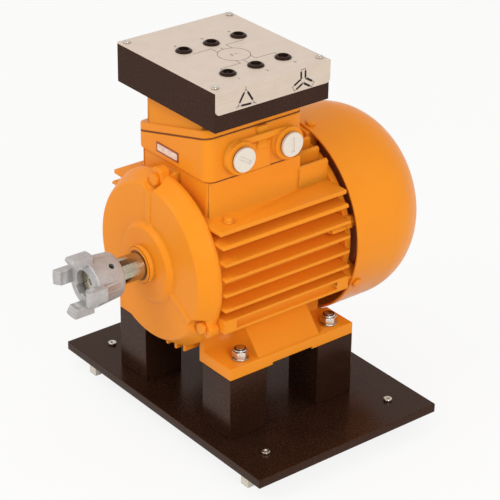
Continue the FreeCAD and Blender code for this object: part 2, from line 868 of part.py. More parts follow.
def pad_seams():
    """Upright seams at the corners of the terminal pad's front, where its side walls begin."""
    low = s.pad_seam_inset
    high = s.pad_seam_inset + s.pad_seam_width
    front = -s.pad_front
    return [box("pad_seam_far", low - s.pad_far, high - s.pad_far, front - s.overrun,
                front + s.pad_seam_depth, s.flange_top, s.pad_top + s.overrun),
            box("pad_seam_near", s.pad_near - high, s.pad_near - low, front - s.overrun,
                front + s.pad_seam_depth, s.flange_top, s.pad_top + s.overrun)]


def foot_cuts():
    """Bolt holes in the feet and the relief under each foot."""
    sole = -s.shaft_height
    tools = [rod(f"foot_hole{number}", "z", s.foot_hole_radius, sole - s.overrun,
                 sole + s.foot_thickness + s.overrun, x, y)
             for number, (x, y) in enumerate(foot_places)]
    relief = box("foot_relief", s.foot_inner - s.overrun, s.foot_outer + s.overrun,
                 s.foot_relief_inset - s.foot_front, foot_length - s.foot_front - s.foot_relief_inset,
                 sole - s.overrun, sole + s.foot_relief)
    return tools + mirrored("foot_relief", relief)


def shield_screw_holes(word, radius, start, end, angles):
    """Holes on the shield screws' circle."""
    hole = rod(f"{word}_screw_hole", "y", radius, start, end, s.shield_screw_circle)
    return round_the_shaft(f"{word}_screw_hole_at", hole, angles)


def flange_screw_places():
    """The earth screws, one on each top flange."""
    return [(s.flange_screw_across * side, -s.flange_screw_front) for side in (-1, 1)]


def flange_screw_holes():
    return [rod(f"flange_screw_hole{number}", "z", s.flange_screw_radius,
                s.flange_top - s.flange_thickness - s.overrun, s.flange_top + s.overrun, x, y)
            for number, (x, y) in enumerate(flange_screw_places())]


def make_flange_screws():
    screws = []
    for number, (x, y) in enumerate(flange_screw_places()):
        collar_top = s.flange_top + s.flange_screw_collar_height
        parts = [rod(f"flange_screw_shank{number}", "z", s.flange_screw_radius,
                     s.flange_top - s.flange_thickness, collar_top, x, y),
                 rod(f"flange_screw_collar{number}", "z", s.flange_screw_collar_radius, s.flange_top,
                     collar_top, x, y),
                 hex_bar(f"flange_screw_head{number}", "z", s.flange_screw_flats, s.flange_top,
                         collar_top + s.flange_screw_head, x, y)]
        screws.append(fuse(f"flange_screw{number}", parts))
    node("flange_screws", group("flange_screw_set", screws), MOTOR)


# End shields

def make_drive_shield():
    joint = -s.housing_front
    face = joint - s.shield_depth
    boss = face - s.shield_boss_height
    nose = boss - s.shield_nose_height
    seat = front_bearing
    inner_face = face + s.shield_wall
    rim = joint - s.shield_rim_width
    profile = [
        (nose, s.shaft_radius + s.shaft_free_gap),
        (nose, s.shield_nose_radius - s.shield_edge / 2),
        (nose + s.shield_edge / 2, s.shield_nose_radius),
        (boss, s.shield_nose_radius),
        (boss, s.shield_boss_top_radius),
        (face, s.shield_boss_radius),
        (face, s.shield_face_radius - s.shield_edge),
        (face + s.shield_edge, s.shield_face_radius),
        (rim, s.shield_rim_radius),
        (joint, s.shield_rim_radius),
        (joint, s.core_radius),
        (joint + s.spigot_length, s.core_radius),
        (joint + s.spigot_length, s.core_radius - s.spigot_wall),
        (inner_face, s.core_radius - s.spigot_wall),
        (inner_face, s.bearing_radius + s.bearing_wall),
        (seat + s.bearing_width, s.bearing_radius + s.bearing_wall),
        (seat + s.bearing_width, s.bearing_radius),
        (seat, s.bearing_radius),
        (seat, s.seal_radius),
        (seat - s.seal_width, s.seal_radius),
        (seat - s.seal_width, s.shaft_radius + s.shaft_free_gap),
    ]
    solids = [turned("drive_shield_turning", profile)]
    solids += round_the_shaft("shield_rib", box("shield_rib_block", s.shield_boss_top_radius,
                                                s.shield_face_radius - s.shield_edge,
                                                face - s.shield_rib_height, face + s.shield_wall / 2,
                                                -s.shield_rib_width / 2, s.shield_rib_width / 2),
                              DRIVE_SHIELD_ANGLES)
    ear = prism("shield_ear_block", "XZ_Plane", ear_outline(), joint - s.shield_ear_thickness, joint)
    solids += round_the_shaft("shield_ear", ear, DRIVE_SHIELD_ANGLES)
    tools = shield_screw_holes("drive_shield", s.shield_screw_radius, face - s.overrun,
                               joint + s.overrun, DRIVE_SHIELD_ANGLES)
    pocket = rod("shield_pocket", "y", s.shield_pocket_radius, face - s.shield_rib_height - s.overrun,
                 joint - s.shield_ear_thickness, s.shield_screw_circle)
    tools += round_the_shaft("shield_pocket_at", pocket, DRIVE_SHIELD_ANGLES)
    node("drive_end_shield", cut("drive_shield_cut", fuse("drive_shield_blank", solids),
                                 group("drive_shield_tools", tools)), MOTOR)


def ear_outline():
    """A screw ear seen along the shaft: its sides close in and its end is rounded."""
    half = s.lug_width / 2
    tip = half * LUG_TIP_SHARE
    side_end = s.lug_reach - s.lug_crown
    return [(s.lug_root, -half), (side_end, -tip), (side_end, tip, -s.lug_crown_radius), (s.lug_root, half)]


def make_rear_shield():
    joint = housing_rear
    back = rear_shield_back
    boss_back = rear_bearing + s.bearing_width + s.wave_washer_thickness + s.bearing_wall / 2
    spigot = joint - s.spigot_length
    profile = [
        (spigot, s.core_radius - s.spigot_wall),
        (spigot, s.core_radius),
        (joint, s.core_radius),
        (joint, s.rear_shield_radius),
        (back, s.rear_shield_radius),
        (back, s.rear_shield_boss_radius + s.shield_edge),
        (boss_back, s.rear_shield_boss_radius),
        (boss_back, s.rear_shield_bore),
        (rear_bearing + s.bearing_width + s.wave_washer_thickness, s.rear_shield_bore),
        (rear_bearing + s.bearing_width + s.wave_washer_thickness, s.bearing_radius),
        (rear_bearing, s.bearing_radius),
        (rear_bearing, s.bearing_radius + s.bearing_wall),
        (joint, s.bearing_radius + s.bearing_wall),
        (joint, s.core_radius - s.spigot_wall),
    ]
    solids = [turned("rear_shield_turning", profile)]
    solids += round_the_shaft("rear_ear", box("rear_ear_block", s.lug_root, s.rear_lug_reach, joint, back,
                                              -s.rear_lug_width / 2, s.rear_lug_width / 2),
                              REAR_SHIELD_ANGLES)
    lug_back = s.cover_front + s.cover_lug_length
    lug_reach = s.cover_radius - s.cover_wall - s.cover_lug_gap
    cover_lug = box("cover_lug_block", s.cover_lug_root, lug_reach, joint, lug_back,
                    -s.cover_lug_width / 2, s.cover_lug_width / 2)
    solids += round_the_shaft("cover_lug", cover_lug, COVER_SCREW_ANGLES)
    tools = shield_screw_holes("rear_shield", s.shield_screw_radius, joint - s.overrun,
                               back + s.overrun, REAR_SHIELD_ANGLES)
    tools += cover_screw_holes("rear_shield")
    node("rear_end_shield", cut("rear_shield_cut", fuse("rear_shield_blank", solids),
                                group("rear_shield_tools", tools)), MOTOR)


def shield_screw_set(word, seat, direction, angles):
    """Hexagon screws on the shield circle; the head stands away from the seat."""
    head_far = seat + s.shield_screw_head * direction
    shank_far = seat - s.shield_screw_length * direction
    low, high = (head_far, seat) if direction < 0 else (seat, head_far)
    shank_low, shank_high = (seat, shank_far) if direction < 0 else (shank_far, seat)
    screw = fuse(f"{word}_screw", [hex_bar(f"{word}_screw_head", "y", s.shield_screw_flats, low, high,
                                           s.shield_screw_circle),
                                   rod(f"{word}_screw_shank", "y", s.shield_screw_radius, shank_low,
                                       shank_high, s.shield_screw_circle)])
    return group(f"{word}_screw_set", round_the_shaft(f"{word}_screw_at", screw, angles))


def make_shield_screws():
    front_seat = -s.housing_front - s.shield_ear_thickness
    node("drive_shield_screws", shield_screw_set("drive_shield", front_seat, -1, DRIVE_SHIELD_ANGLES), MOTOR)
    node("rear_shield_screws", shield_screw_set("rear_shield", rear_shield_back, 1, REAR_SHIELD_ANGLES),
         MOTOR)


# Bearings, seal and wave washer

def make_bearing(word, front):
    """A deep groove ball bearing: two rings with a round groove, the balls and their cage."""
    middle = front + s.bearing_width / 2
    pitch = (s.inner_race_radius + s.outer_race_radius) / 2
    for ring, low, high in (("inner", s.bearing_bore_radius, s.inner_race_radius),
                            ("outer", s.outer_race_radius, s.bearing_radius)):
        blank = turned(f"{word}_{ring}_blank", [(front, low), (front, high),
                                                (front + s.bearing_width, high),
                                                (front + s.bearing_width, low)])
        groove = doc.addObject("Part::Torus", f"{word}_{ring}_groove")
        bind(groove, Radius1=pitch, Radius2=s.ball_radius + s.race_gap)
        groove.Placement = FreeCAD.Placement(FreeCAD.Vector(), AXIS_TURNS["y"])
        at(groove, 0, middle, 0)
        node(f"{word}_bearing_{ring}_ring", cut(f"{word}_{ring}_ring", blank, groove), MOTOR)
    ball = doc.addObject("Part::Sphere", f"{word}_ball")
    bind(ball, Radius=s.ball_radius)
    at(ball, pitch, middle, 0)
    balls = round_the_shaft(f"{word}_ball_at", ball, evenly(BALLS))
    node(f"{word}_bearing_balls", group(f"{word}_ball_set", balls), MOTOR)
    blank = turned(f"{word}_cage_blank", [(middle - s.cage_width / 2, s.cage_inner_radius),
                                          (middle - s.cage_width / 2, s.cage_outer_radius),
                                          (middle + s.cage_width / 2, s.cage_outer_radius),
                                          (middle + s.cage_width / 2, s.cage_inner_radius)])
    pocket = rod(f"{word}_cage_pocket", "x", s.ball_radius + s.running_gap, s.cage_inner_radius - s.overrun,
                 s.cage_outer_radius + s.overrun, 0, middle)
    pockets = group(f"{word}_cage_pockets", round_the_shaft(f"{word}_pocket_at", pocket, evenly(BALLS)))
    node(f"{word}_bearing_cage", cut(f"{word}_cage", blank, pockets), MOTOR)


def make_seal_and_washer():
    start = front_bearing - s.seal_width
    shaft_surface = s.bearing_bore_radius + s.running_gap
    node("shaft_seal", solid_of(turned("seal", [(start, shaft_surface), (start, s.seal_radius),
                                                (front_bearing, s.seal_radius),
                                                (front_bearing, shaft_surface)])), MOTOR)
    low = rear_bearing + s.bearing_width
    high = low + s.wave_washer_thickness
    inner = s.bearing_radius - s.wave_washer_width
    node("wave_washer", solid_of(turned("wave_ring", [(low, inner), (low, s.bearing_radius),
                                                      (high, s.bearing_radius), (high, inner)])), MOTOR)


# Stator and rotor

def make_stator():
    end = s.core_front + s.core_length
    blank = turned("stator_blank", [(s.core_front, s.stator_bore_radius), (s.core_front, s.core_radius),
                                    (end, s.core_radius), (end, s.stator_bore_radius)])
    throat = s.stator_bore_radius + s.slot_lip
    slot = fuse("stator_slot", [box("slot_body", throat, s.slot_root, s.core_front - s.overrun,
                                    end + s.overrun, -s.slot_width / 2, s.slot_width / 2),
                                box("slot_mouth", s.stator_bore_radius - s.overrun, throat,
                                    s.core_front - s.overrun, end + s.overrun,
                                    -s.slot_mouth_width / 2, s.slot_mouth_width / 2)])
    slots = group("stator_slots", round_the_shaft("stator_slot_at", slot, evenly(STATOR_SLOTS)))
    node("stator_core", cut("stator_core_cut", blank, slots), MOTOR)
    low = throat + s.slot_liner
    bar = box("slot_coil", low, s.slot_root - s.slot_liner, s.core_front - s.overrun, end + s.overrun,
              -s.slot_width / 2 + s.slot_liner, s.slot_width / 2 - s.slot_liner)
    coils = round_the_shaft("slot_coil_at", bar, evenly(STATOR_SLOTS))
    coils.append(winding_head("front_winding_head", s.core_front - s.winding_front_reach, s.core_front))
    coils.append(winding_head("rear_winding_head", end, end + s.winding_rear_reach))
    node("stator_windings", fuse("stator_winding_set", coils), MOTOR)


def winding_head(name, start, end):
    """The bundle of end turns on one side of the core, with eased shoulders."""
    ease = s.winding_shoulder
    return turned(name, [(start + ease, s.winding_inner_radius), (start, s.winding_inner_radius + ease),
                         (start, s.winding_outer_radius - ease), (start + ease, s.winding_outer_radius),
                         (end - ease, s.winding_outer_radius), (end, s.winding_outer_radius - ease),
                         (end, s.winding_inner_radius + ease), (end - ease, s.winding_inner_radius)])


def make_rotor():
    end = s.core_front + s.core_length
    rotor_radius = s.stator_bore_radius - s.air_gap
    blank = turned("rotor_blank", [(s.core_front, s.rotor_seat_radius), (s.core_front, rotor_radius),
                                   (end, rotor_radius), (end, s.rotor_seat_radius)])
    hole = rod("rotor_bar_hole", "y", s.rotor_bar_radius, s.core_front - s.overrun, end + s.overrun,
               s.rotor_bar_circle)
    holes = group("rotor_bar_holes", round_the_shaft("rotor_bar_hole_at", hole, evenly(ROTOR_BARS)))
    node("rotor_core", cut("rotor_core_cut", blank, holes), MOTOR)
    bar = rod("rotor_bar", "y", s.rotor_bar_radius, s.core_front - s.overrun, end + s.overrun,
              s.rotor_bar_circle)
    pieces = round_the_shaft("rotor_bar_at", bar, evenly(ROTOR_BARS))
    for word, low, high in (("front", s.core_front - s.end_ring_width, s.core_front),
                            ("rear", end, end + s.end_ring_width)):
        pieces.append(turned(f"{word}_end_ring", [(low, s.end_ring_inner), (low, s.end_ring_outer),
                                                  (high, s.end_ring_outer), (high, s.end_ring_inner)]))
    node("rotor_cage", fuse("rotor_cage_casting", pieces), MOTOR)


# Shaft, key and coupling hub

def make_shaft():
    front = -(s.shoulder + s.shaft_out)
    clip_front = s.fan_front + s.fan_hub_length
    groove_radius = s.fan_seat_radius - s.clip_groove_depth
    profile = [
        (front, 0),
        (front, s.shaft_radius - s.shaft_chamfer),
        (front + s.shaft_chamfer, s.shaft_radius),
        (-s.shoulder, s.shaft_radius),
        (-s.shoulder, s.bearing_bore_radius),
        (rotor_front_shoulder, s.bearing_bore_radius),
        (rotor_front_shoulder, s.rotor_seat_radius),
        (rear_bearing, s.rotor_seat_radius),
        (rear_bearing, s.bearing_bore_radius),
        (s.rear_journal_end, s.bearing_bore_radius),
        (s.rear_journal_end, s.fan_seat_radius),
        (clip_front, s.fan_seat_radius),
        (clip_front, groove_radius),
        (clip_front + s.clip_thickness, groove_radius),
        (clip_front + s.clip_thickness, s.fan_seat_radius),
        (s.shaft_rear_end - s.shaft_chamfer, s.fan_seat_radius),
        (s.shaft_rear_end, s.fan_seat_radius - s.shaft_chamfer),
        (s.shaft_rear_end, 0),
    ]
    cone = turned("centre_hole", [(front - s.overrun, 0), (front - s.overrun, s.centre_hole_radius),
                                  (front, s.centre_hole_radius), (front + s.centre_hole_depth, 0)])
    tools = group("shaft_tools", [cone, key_block("keyway", s.shaft_radius - s.key_seat,
                                                  s.shaft_radius + s.overrun)])
    node("shaft", cut("shaft_cut", turned("shaft_turning", profile), tools), MOTOR)


def key_block(name, low, high):
    """A block as wide and long as the key, from one depth to another, turned to the key's angle."""
    front = s.key_end_gap - s.shoulder - s.shaft_out
    block = box(f"{name}_block", low, high, front, front + s.key_length, -s.key_width / 2,
                s.key_width / 2)
    return turned_copy(name, block, KEY_ANGLE)


def make_key():
    low = s.shaft_radius - s.key_seat
    node("shaft_key", solid_of(key_block("key", low, low + s.key_height)), MOTOR)


def make_hub():
    """The jaw coupling's hub: a slightly tapered sleeve and four jaws with sloped ends."""
    back = hub_front + s.hub_length
    ease = s.shaft_chamfer
    sleeve = turned("hub_sleeve", [(hub_front, s.shaft_radius), (hub_front, s.hub_front_radius - ease),
                                   (hub_front + ease, s.hub_front_radius), (back - ease, s.hub_radius),
                                   (back, s.hub_radius - ease), (back, s.shaft_radius)])
    jaw_back = hub_front + s.jaw_root
    ring = turned("jaw_ring", [(jaw_front, s.jaw_crest_radius),
                               (jaw_front + s.jaw_outer_slope, s.jaw_outer_radius),
                               (jaw_back, s.jaw_outer_radius), (jaw_back, s.jaw_inner_radius),
                               (jaw_front + s.jaw_inner_slope, s.jaw_inner_radius)])
    bar = box("jaw_bar", 0, s.jaw_outer_radius + s.overrun, jaw_front - s.overrun, jaw_back + s.overrun,
              -s.jaw_width / 2, s.jaw_width / 2)
    jaws = common("jaws", ring, fuse("jaw_bars", round_the_shaft("jaw_bar_at", bar, JAW_ANGLES)))
    keyway_top = s.shaft_radius - s.key_seat + s.key_height + s.key_top_gap
    keyway = turned_copy("hub_keyway", box("hub_keyway_block", s.key_seat, keyway_top, hub_front - s.overrun,
                                           back + s.overrun, -s.key_width / 2, s.key_width / 2), KEY_ANGLE)
    thread = set_screw_rod("hub_thread", s.shaft_radius - s.overrun, s.hub_front_radius + s.overrun)
    tools = group("hub_tools", [keyway, thread])
    node("coupling_hub", cut("hub_cut", fuse("hub_blank", [sleeve, jaws]), tools), MOTOR)


def set_screw_rod(name, start, reach):
    """A radial bar at the set screw's place."""
    along = hub_front + s.hub_length - s.set_screw_back
    return turned_copy(name, rod(f"{name}_rod", "x", s.set_screw_radius, start, reach, 0, along),
                       SET_SCREW_ANGLE)


def make_set_screw():
    screw = set_screw_rod("set_screw", s.shaft_radius, s.shaft_radius + s.set_screw_length)
    node("hub_set_screw", solid_of(screw), MOTOR)


# Fan and its cover

def make_fan():
    end = s.fan_front + s.fan_hub_length
    disc_back = s.fan_front + s.fan_disc_thickness
    hub = turned("fan_hub", [(s.fan_front, s.fan_seat_radius), (s.fan_front, s.fan_disc_radius),
                             (disc_back, s.fan_disc_radius), (disc_back, s.fan_hub_radius),
                             (end, s.fan_hub_radius), (end, s.fan_seat_radius)])
    blade = box("fan_blade", s.fan_hub_radius - s.overrun, s.fan_radius, disc_back - s.overrun / 2,
                disc_back + s.fan_blade_width, -s.fan_blade_thickness / 2, s.fan_blade_thickness / 2)
    blades = round_the_shaft("fan_blade_at", blade, evenly(FAN_BLADES))
    node("fan", fuse("fan_moulding", [hub] + blades), MOTOR)
    inner = s.fan_seat_radius - s.clip_groove_depth
    node("fan_clip", solid_of(turned("clip_ring", [(end, inner), (end, s.clip_radius),
                                                   (end + s.clip_thickness, s.clip_radius),
                                                   (end + s.clip_thickness, inner)])), MOTOR)


def cover_skin(name, radius, rounding, front, back):
    """One surface of the cover as a filled solid: straight, then rounded to a small flat end."""
    return turned(name, [(front, 0), (front, radius), (back - rounding, radius),
                         (back, radius - rounding, rounding), (back, 0)])


def make_cover():
    outer = cover_skin("cover_outer", s.cover_radius, s.cover_rounding, s.cover_front, cover_back)
    inner = cover_skin("cover_inner", s.cover_radius - s.cover_wall, s.cover_rounding - s.cover_wall,
                       s.cover_front - s.overrun, cover_back - s.cover_wall)
    rings = []
    for number in range(GRILLE_RINGS):
        low = s.grille_first + s.grille_pitch * number
        ring = turned(f"grille_ring{number}", [(cover_back - s.grille_depth, low),
                                               (cover_back - s.grille_depth, low + s.grille_slot),
                                               (cover_back + s.overrun, low + s.grille_slot),
                                               (cover_back + s.overrun, low)])
        rings.append(ring)
    reach = s.grille_first + s.grille_pitch * GRILLE_RINGS
    bar = box("grille_bar", -reach, reach, cover_back - s.grille_depth - s.overrun,
              cover_back + s.overrun * 2, -s.grille_bar / 2, s.grille_bar / 2)
    bars = round_the_shaft("grille_bar_at", bar, evenly(GRILLE_BARS * 2)[:GRILLE_BARS])
    grille = cut("grille", group("grille_rings", rings), group("grille_bars", bars))
    tools = [inner, grille] + cover_screw_holes("cover")
    node("fan_cover", cut("cover_cut", outer, group("cover_tools", tools)), MOTOR)


def cover_screw_line():
    return s.cover_front + s.cover_screw_back


def cover_screw_holes(word):
    """Radial holes for the cover's screws."""
    hole = rod(f"{word}_cover_hole", "x", s.cover_screw_radius, s.cover_radius - s.cover_screw_reach,
               s.cover_radius + s.overrun, 0, cover_screw_line())
    return round_the_shaft(f"{word}_cover_hole_at", hole, COVER_SCREW_ANGLES)


def make_cover_screws():
    along = cover_screw_line()
    screw = fuse("cover_screw", [rod("cover_screw_shank", "x", s.cover_screw_radius,
                                     s.cover_radius - s.cover_screw_reach, s.cover_radius, 0, along),
                                 rod("cover_screw_head", "x", s.cover_screw_head_radius, s.cover_radius,
                                     s.cover_radius + s.cover_screw_head_height, 0, along)])
    node("fan_cover_screws", group("cover_screw_set", round_the_shaft("cover_screw_at", screw,
                                                                      COVER_SCREW_ANGLES)), MOTOR)


# Terminal box with its slanted lid

def seam_wedge(name, rise, above):
    """All that lies above or below the slanted seam, raised by a given amount."""
    run = s.box_far + s.box_near
    climb = s.seam_near - s.seam_far
    far_x = -s.box_far - run
    near_x = s.box_near + run
    far_z = s.seam_far - climb + rise
    near_z = s.seam_near + climb + rise
    limit = s.lid_top + run if above else as_size(0)
    corners = [(far_x, far_z), (near_x, near_z), (near_x, limit), (far_x, limit)]
    return prism(name, "XZ_Plane", corners, -s.box_front - run, s.box_length + run)


def box_outline(inset=0, far_inset=None):
    """The terminal box's rounded outline, drawn in by an inset."""
    far = inset if far_inset is None else far_inset
    return rounded_corners(-s.box_far + far, s.box_near - inset, -s.box_front + inset,
                           s.box_length - s.box_front - inset, s.box_corner)


def make_terminal_box():
    bottom = s.pad_top + s.box_gasket
    body = prism("box_blank", "XY_Plane", box_outline(), bottom, s.lid_top)
    solids = [cut("box_trimmed", body, seam_wedge("box_trim", 0, True))]
    inner = s.box_near - s.box_wall
    face = s.box_near + s.plug_boss_length
    for number, along in enumerate(plug_places):
        solids.append(rod(f"plug_boss{number}", "x", s.plug_boss_radius, inner, face, 0, along,
                          s.plug_height))
    bar_top = s.plug_height + s.plug_boss_radius
    solids.append(box("boss_bar", inner, s.box_near + s.rib_bar_depth, plug_places[0], plug_places[1],
                      bar_top - s.rib_bar_height, bar_top))
    middle = (plug_places[0] + plug_places[1]) / 2
    post = box("boss_post", inner, s.box_near + s.rib_post_depth, middle - s.rib_post_width / 2,
               middle + s.rib_post_width / 2, s.plug_height, s.seam_near)
    solids.append(cut("boss_post_trimmed", post, seam_wedge("boss_post_trim", 0, True)))
    solids.append(box("boss_web", inner, s.box_near + s.rib_web_depth, plug_places[0],
                      middle + s.rib_web_width, bottom, s.plug_height + s.rib_bar_height))
    cavity = prism("box_cavity", "XY_Plane", box_outline(s.box_wall), bottom + s.box_wall,
                   s.lid_top + s.overrun)
    keep = group("box_inside_parts", lid_posts(bottom) + board_posts(bottom))
    undercut = prism("box_undercut", "XZ_Plane",
                     [(-s.box_far - s.overrun, bottom - s.overrun),
                      (-s.box_far - s.overrun, bottom + s.undercut_height + s.overrun),
                      (-s.box_far + s.undercut_depth, bottom),
                      (-s.box_far + s.undercut_depth, bottom - s.overrun)],
                     -s.box_front - s.overrun, s.box_length)
    hollow = cut("box_cavity_kept", cavity, keep)
    tools = [hollow, undercut]
    tools += [rod(f"plug_hole{number}", "x", s.plug_thread_radius, inner - s.overrun, face + s.overrun, 0,
                  along, s.plug_height) for number, along in enumerate(plug_places)]
    tools.append(rod("box_cable_hole", "z", s.cable_hole_radius, s.pad_top, bottom + s.box_wall + s.overrun,
                     0, box_centre))
    tools += lid_screw_holes("box", bottom + s.box_wall)
    node("terminal_box", cut("terminal_box_cut", fuse("terminal_box_blank", solids),
                             group("terminal_box_tools", tools)), MOTOR)


def lid_screw_places():
    """The lid's corner screws."""
    across = [-s.box_far + s.lid_screw_inset + s.lid_far_inset, s.box_near - s.lid_screw_inset]
    along = [s.lid_screw_inset - s.box_front, s.box_length - s.box_front - s.lid_screw_inset]
    return [(x, y) for x in across for y in along]


def lid_posts(bottom):
    """Corner posts in the terminal box, under the lid's screws."""
    return [cut(f"lid_post{number}",
                rod(f"lid_post_bar{number}", "z", s.lid_post_radius, bottom, s.lid_top, x, y),
                seam_wedge(f"lid_post_trim{number}", 0, True))
            for number, (x, y) in enumerate(lid_screw_places())]


def board_posts(bottom):
    """Two short posts that carry the terminal board."""
    return [rod(f"board_post{number}", "z", s.board_post_radius, bottom, bottom + s.box_wall + s.board_rise,
                s.board_length * side / 2 - s.board_post_radius * side, box_centre)
            for number, side in enumerate((-1, 1))]


def lid_screw_holes(word, floor):
    return [rod(f"{word}_lid_hole{number}", "z", s.lid_screw_radius, floor, s.lid_top + s.overrun, x, y)
            for number, (x, y) in enumerate(lid_screw_places())]


def make_gaskets():
    bottom = s.pad_top
    sheet_blank = prism("box_gasket_blank", "XY_Plane",
                        rounded_corners(-s.pad_far, s.pad_near, -s.pad_front, s.pad_length - s.pad_front,
                                        s.box_corner), bottom, bottom + s.box_gasket)
    hole = rod("box_gasket_hole", "z", s.cable_hole_radius, bottom - s.overrun,
               bottom + s.box_gasket + s.overrun, 0, box_centre)
    node("box_gasket", cut("box_gasket_cut", sheet_blank, hole), MOTOR)
    ring = prism("lid_gasket_blank", "XY_Plane", box_outline(), bottom, s.lid_top)
    opening = prism("lid_gasket_opening", "XY_Plane", box_outline(s.box_wall), bottom - s.overrun,
                    s.lid_top + s.overrun)
    tools = group("lid_gasket_tools", [seam_wedge("lid_gasket_top", s.seam_gasket, True),
                                       seam_wedge("lid_gasket_bottom", 0, False), opening])
    node("lid_gasket", cut("lid_gasket_cut", ring, tools), MOTOR)


def make_lid():
    """The slanted lid: a flange that follows the seam and a raised block under the socket box."""
    low = s.pad_top
    flange_blank = prism("lid_flange_blank", "XY_Plane", box_outline(), low, s.lid_top)
    flange = cut("lid_flange", flange_blank,
                 seam_wedge("lid_flange_top", s.seam_gasket + s.lid_flange_height, True))
    block = prism("lid_block", "XY_Plane", box_outline(s.lid_inset, s.lid_far_inset), low, s.lid_top)
    cavity = prism("lid_cavity", "XY_Plane", box_outline(s.lid_inset + s.box_wall,
                                                         s.lid_far_inset + s.box_wall),
                   low, s.lid_top - s.box_wall)
    posts = [rod(f"lid_boss{number}", "z", s.lid_post_radius, low, s.lid_top, x, y)
             for number, (x, y) in enumerate(lid_screw_places())]
    tools = [seam_wedge("lid_bottom", s.seam_gasket, False),
             cut("lid_cavity_kept", cavity, group("lid_bosses", posts)),
             rod("lid_cable_hole", "z", s.case_cable_hole, s.lid_top - s.box_wall - s.overrun,
                 s.lid_top + s.overrun, 0, s.case_centre)]
    tools += lid_screw_holes("lid", low)
    tools += case_screw_holes("lid")
    node("terminal_lid", cut("terminal_lid_cut", fuse("terminal_lid_blank", [flange, block]),
                             group("terminal_lid_tools", tools)), MOTOR)


def make_lid_screws():
    """Countersunk in the lid's roof, so that the socket box can sit flat on it."""
    screws = [rod(f"lid_screw{number}", "z", s.lid_screw_radius, s.pad_top + s.box_gasket + s.box_wall,
                  s.lid_top, x, y)
              for number, (x, y) in enumerate(lid_screw_places())]
    node("lid_screws", group("lid_screw_set", screws), MOTOR)


def make_terminal_board():
    floor = s.pad_top + s.box_gasket + s.box_wall + s.board_rise
    top = floor + s.board_thickness
    board = box("board_blank", -s.board_length / 2, s.board_length / 2, box_centre - s.board_width / 2,
                box_centre + s.board_width / 2, floor, top)
    places = [(s.stud_pitch * column, box_centre + s.stud_row_gap * row / 2)
              for row in (-1, 1) for column in (-1, 0, 1)]
    holes, studs, nuts = [], [], []
    for number, (x, y) in enumerate(places):
        holes.append(rod(f"board_hole{number}", "z", s.stud_radius, floor - s.overrun, top + s.overrun, x, y))
        studs.append(rod(f"terminal_stud{number}", "z", s.stud_radius, floor, floor + s.stud_length, x, y))
        thread = rod(f"stud_thread{number}", "z", s.stud_radius, top - s.overrun,
                     top + s.stud_nut_height + s.overrun, x, y)
        body = hex_bar(f"stud_nut_body{number}", "z", s.stud_nut_flats, top, top + s.stud_nut_height, x, y)
        nuts.append(cut(f"stud_nut{number}", body, thread))
    node("terminal_board", cut("board_cut", board, group("board_holes", holes)), MOTOR)
    node("terminal_studs", group("terminal_stud_set", studs), MOTOR)
    node("terminal_nuts", group("terminal_nut_set", nuts), MOTOR)


def make_plugs():
    """White blanking plugs with a coin slot, each on a flat sealing ring."""
    seat = s.box_near + s.plug_boss_length
    seals = []
    for number, (along, word) in enumerate(zip(plug_places, ("front", "rear"))):
        rest = seat + s.plug_seal_thickness
        face = rest + s.plug_thickness
        parts = [rod(f"plug_{word}_head", "x", s.plug_radius, rest, face, 0, along, s.plug_height),
                 rod(f"plug_{word}_thread", "x", s.plug_thread_radius, seat - s.plug_thread_length, rest, 0,
                     along, s.plug_height)]
        slot = doc.addObject("Part::Box", f"plug_{word}_slot")
        bind(slot, Length=s.plug_slot_depth + s.overrun, Width=s.plug_slot_length, Height=s.plug_slot_width)
        at(slot, 0, -s.plug_slot_length / 2, -s.plug_slot_width / 2)
        turned_slot = group(f"plug_{word}_turned_slot", [slot])
        turned_slot.Placement = FreeCAD.Placement(
            FreeCAD.Vector(), FreeCAD.Rotation(FreeCAD.Vector(1, 0, 0), PLUG_SLOT_ANGLES[number]))
        at(turned_slot, face - s.plug_slot_depth, along, s.plug_height)
        node(f"blanking_plug_{word}", cut(f"plug_{word}", fuse(f"plug_{word}_blank", parts), turned_slot),
             MOTOR)
        outer = s.plug_thread_radius + s.plug_seal_width
        ring = rod(f"plug_{word}_seal_disc", "x", outer, seat, rest, 0, along, s.plug_height)
        hole = rod(f"plug_{word}_seal_hole", "x", s.plug_thread_radius, seat - s.overrun, rest + s.overrun, 0,
                   along, s.plug_height)
        seals.append(cut(f"plug_{word}_seal", ring, hole))
    node("plug_seals", group("plug_seal_set", seals), MOTOR)


def make_label():
    front = -s.box_front
    node("label_plate", solid_of(box("label_blank", s.label_near - s.label_length, s.label_near,
                                     front - s.label_thickness, front, s.label_rise - s.label_height / 2,
                                     s.label_rise + s.label_height / 2)), MOTOR)


# Socket box, its panel and the sockets

def case_span():
    """The socket box's limits across and along."""
    return (-s.case_length / 2, s.case_length / 2, s.case_centre - s.case_width / 2,
            s.case_centre + s.case_width / 2)


def panel_screw_places():
    across = s.case_length / 2 - s.panel_screw_inset_across
    along = s.case_width / 2 - s.panel_screw_inset_along
    return [(across * side, s.case_centre + along * end) for side in (-1, 1) for end in (-1, 1)]


def case_screw_places():
    return [(s.case_screw_across * side, s.case_centre + s.case_screw_along * end)
            for side in (-1, 1) for end in (-1, 1)]


def case_screw_holes(word):
    """Holes for the screws that hold the socket box down on the lid."""
    return [rod(f"{word}_case_hole{number}", "z", s.case_screw_radius,
                s.lid_top - s.case_screw_length, s.lid_top + s.case_wall + s.overrun, x, y)
            for number, (x, y) in enumerate(case_screw_places())]


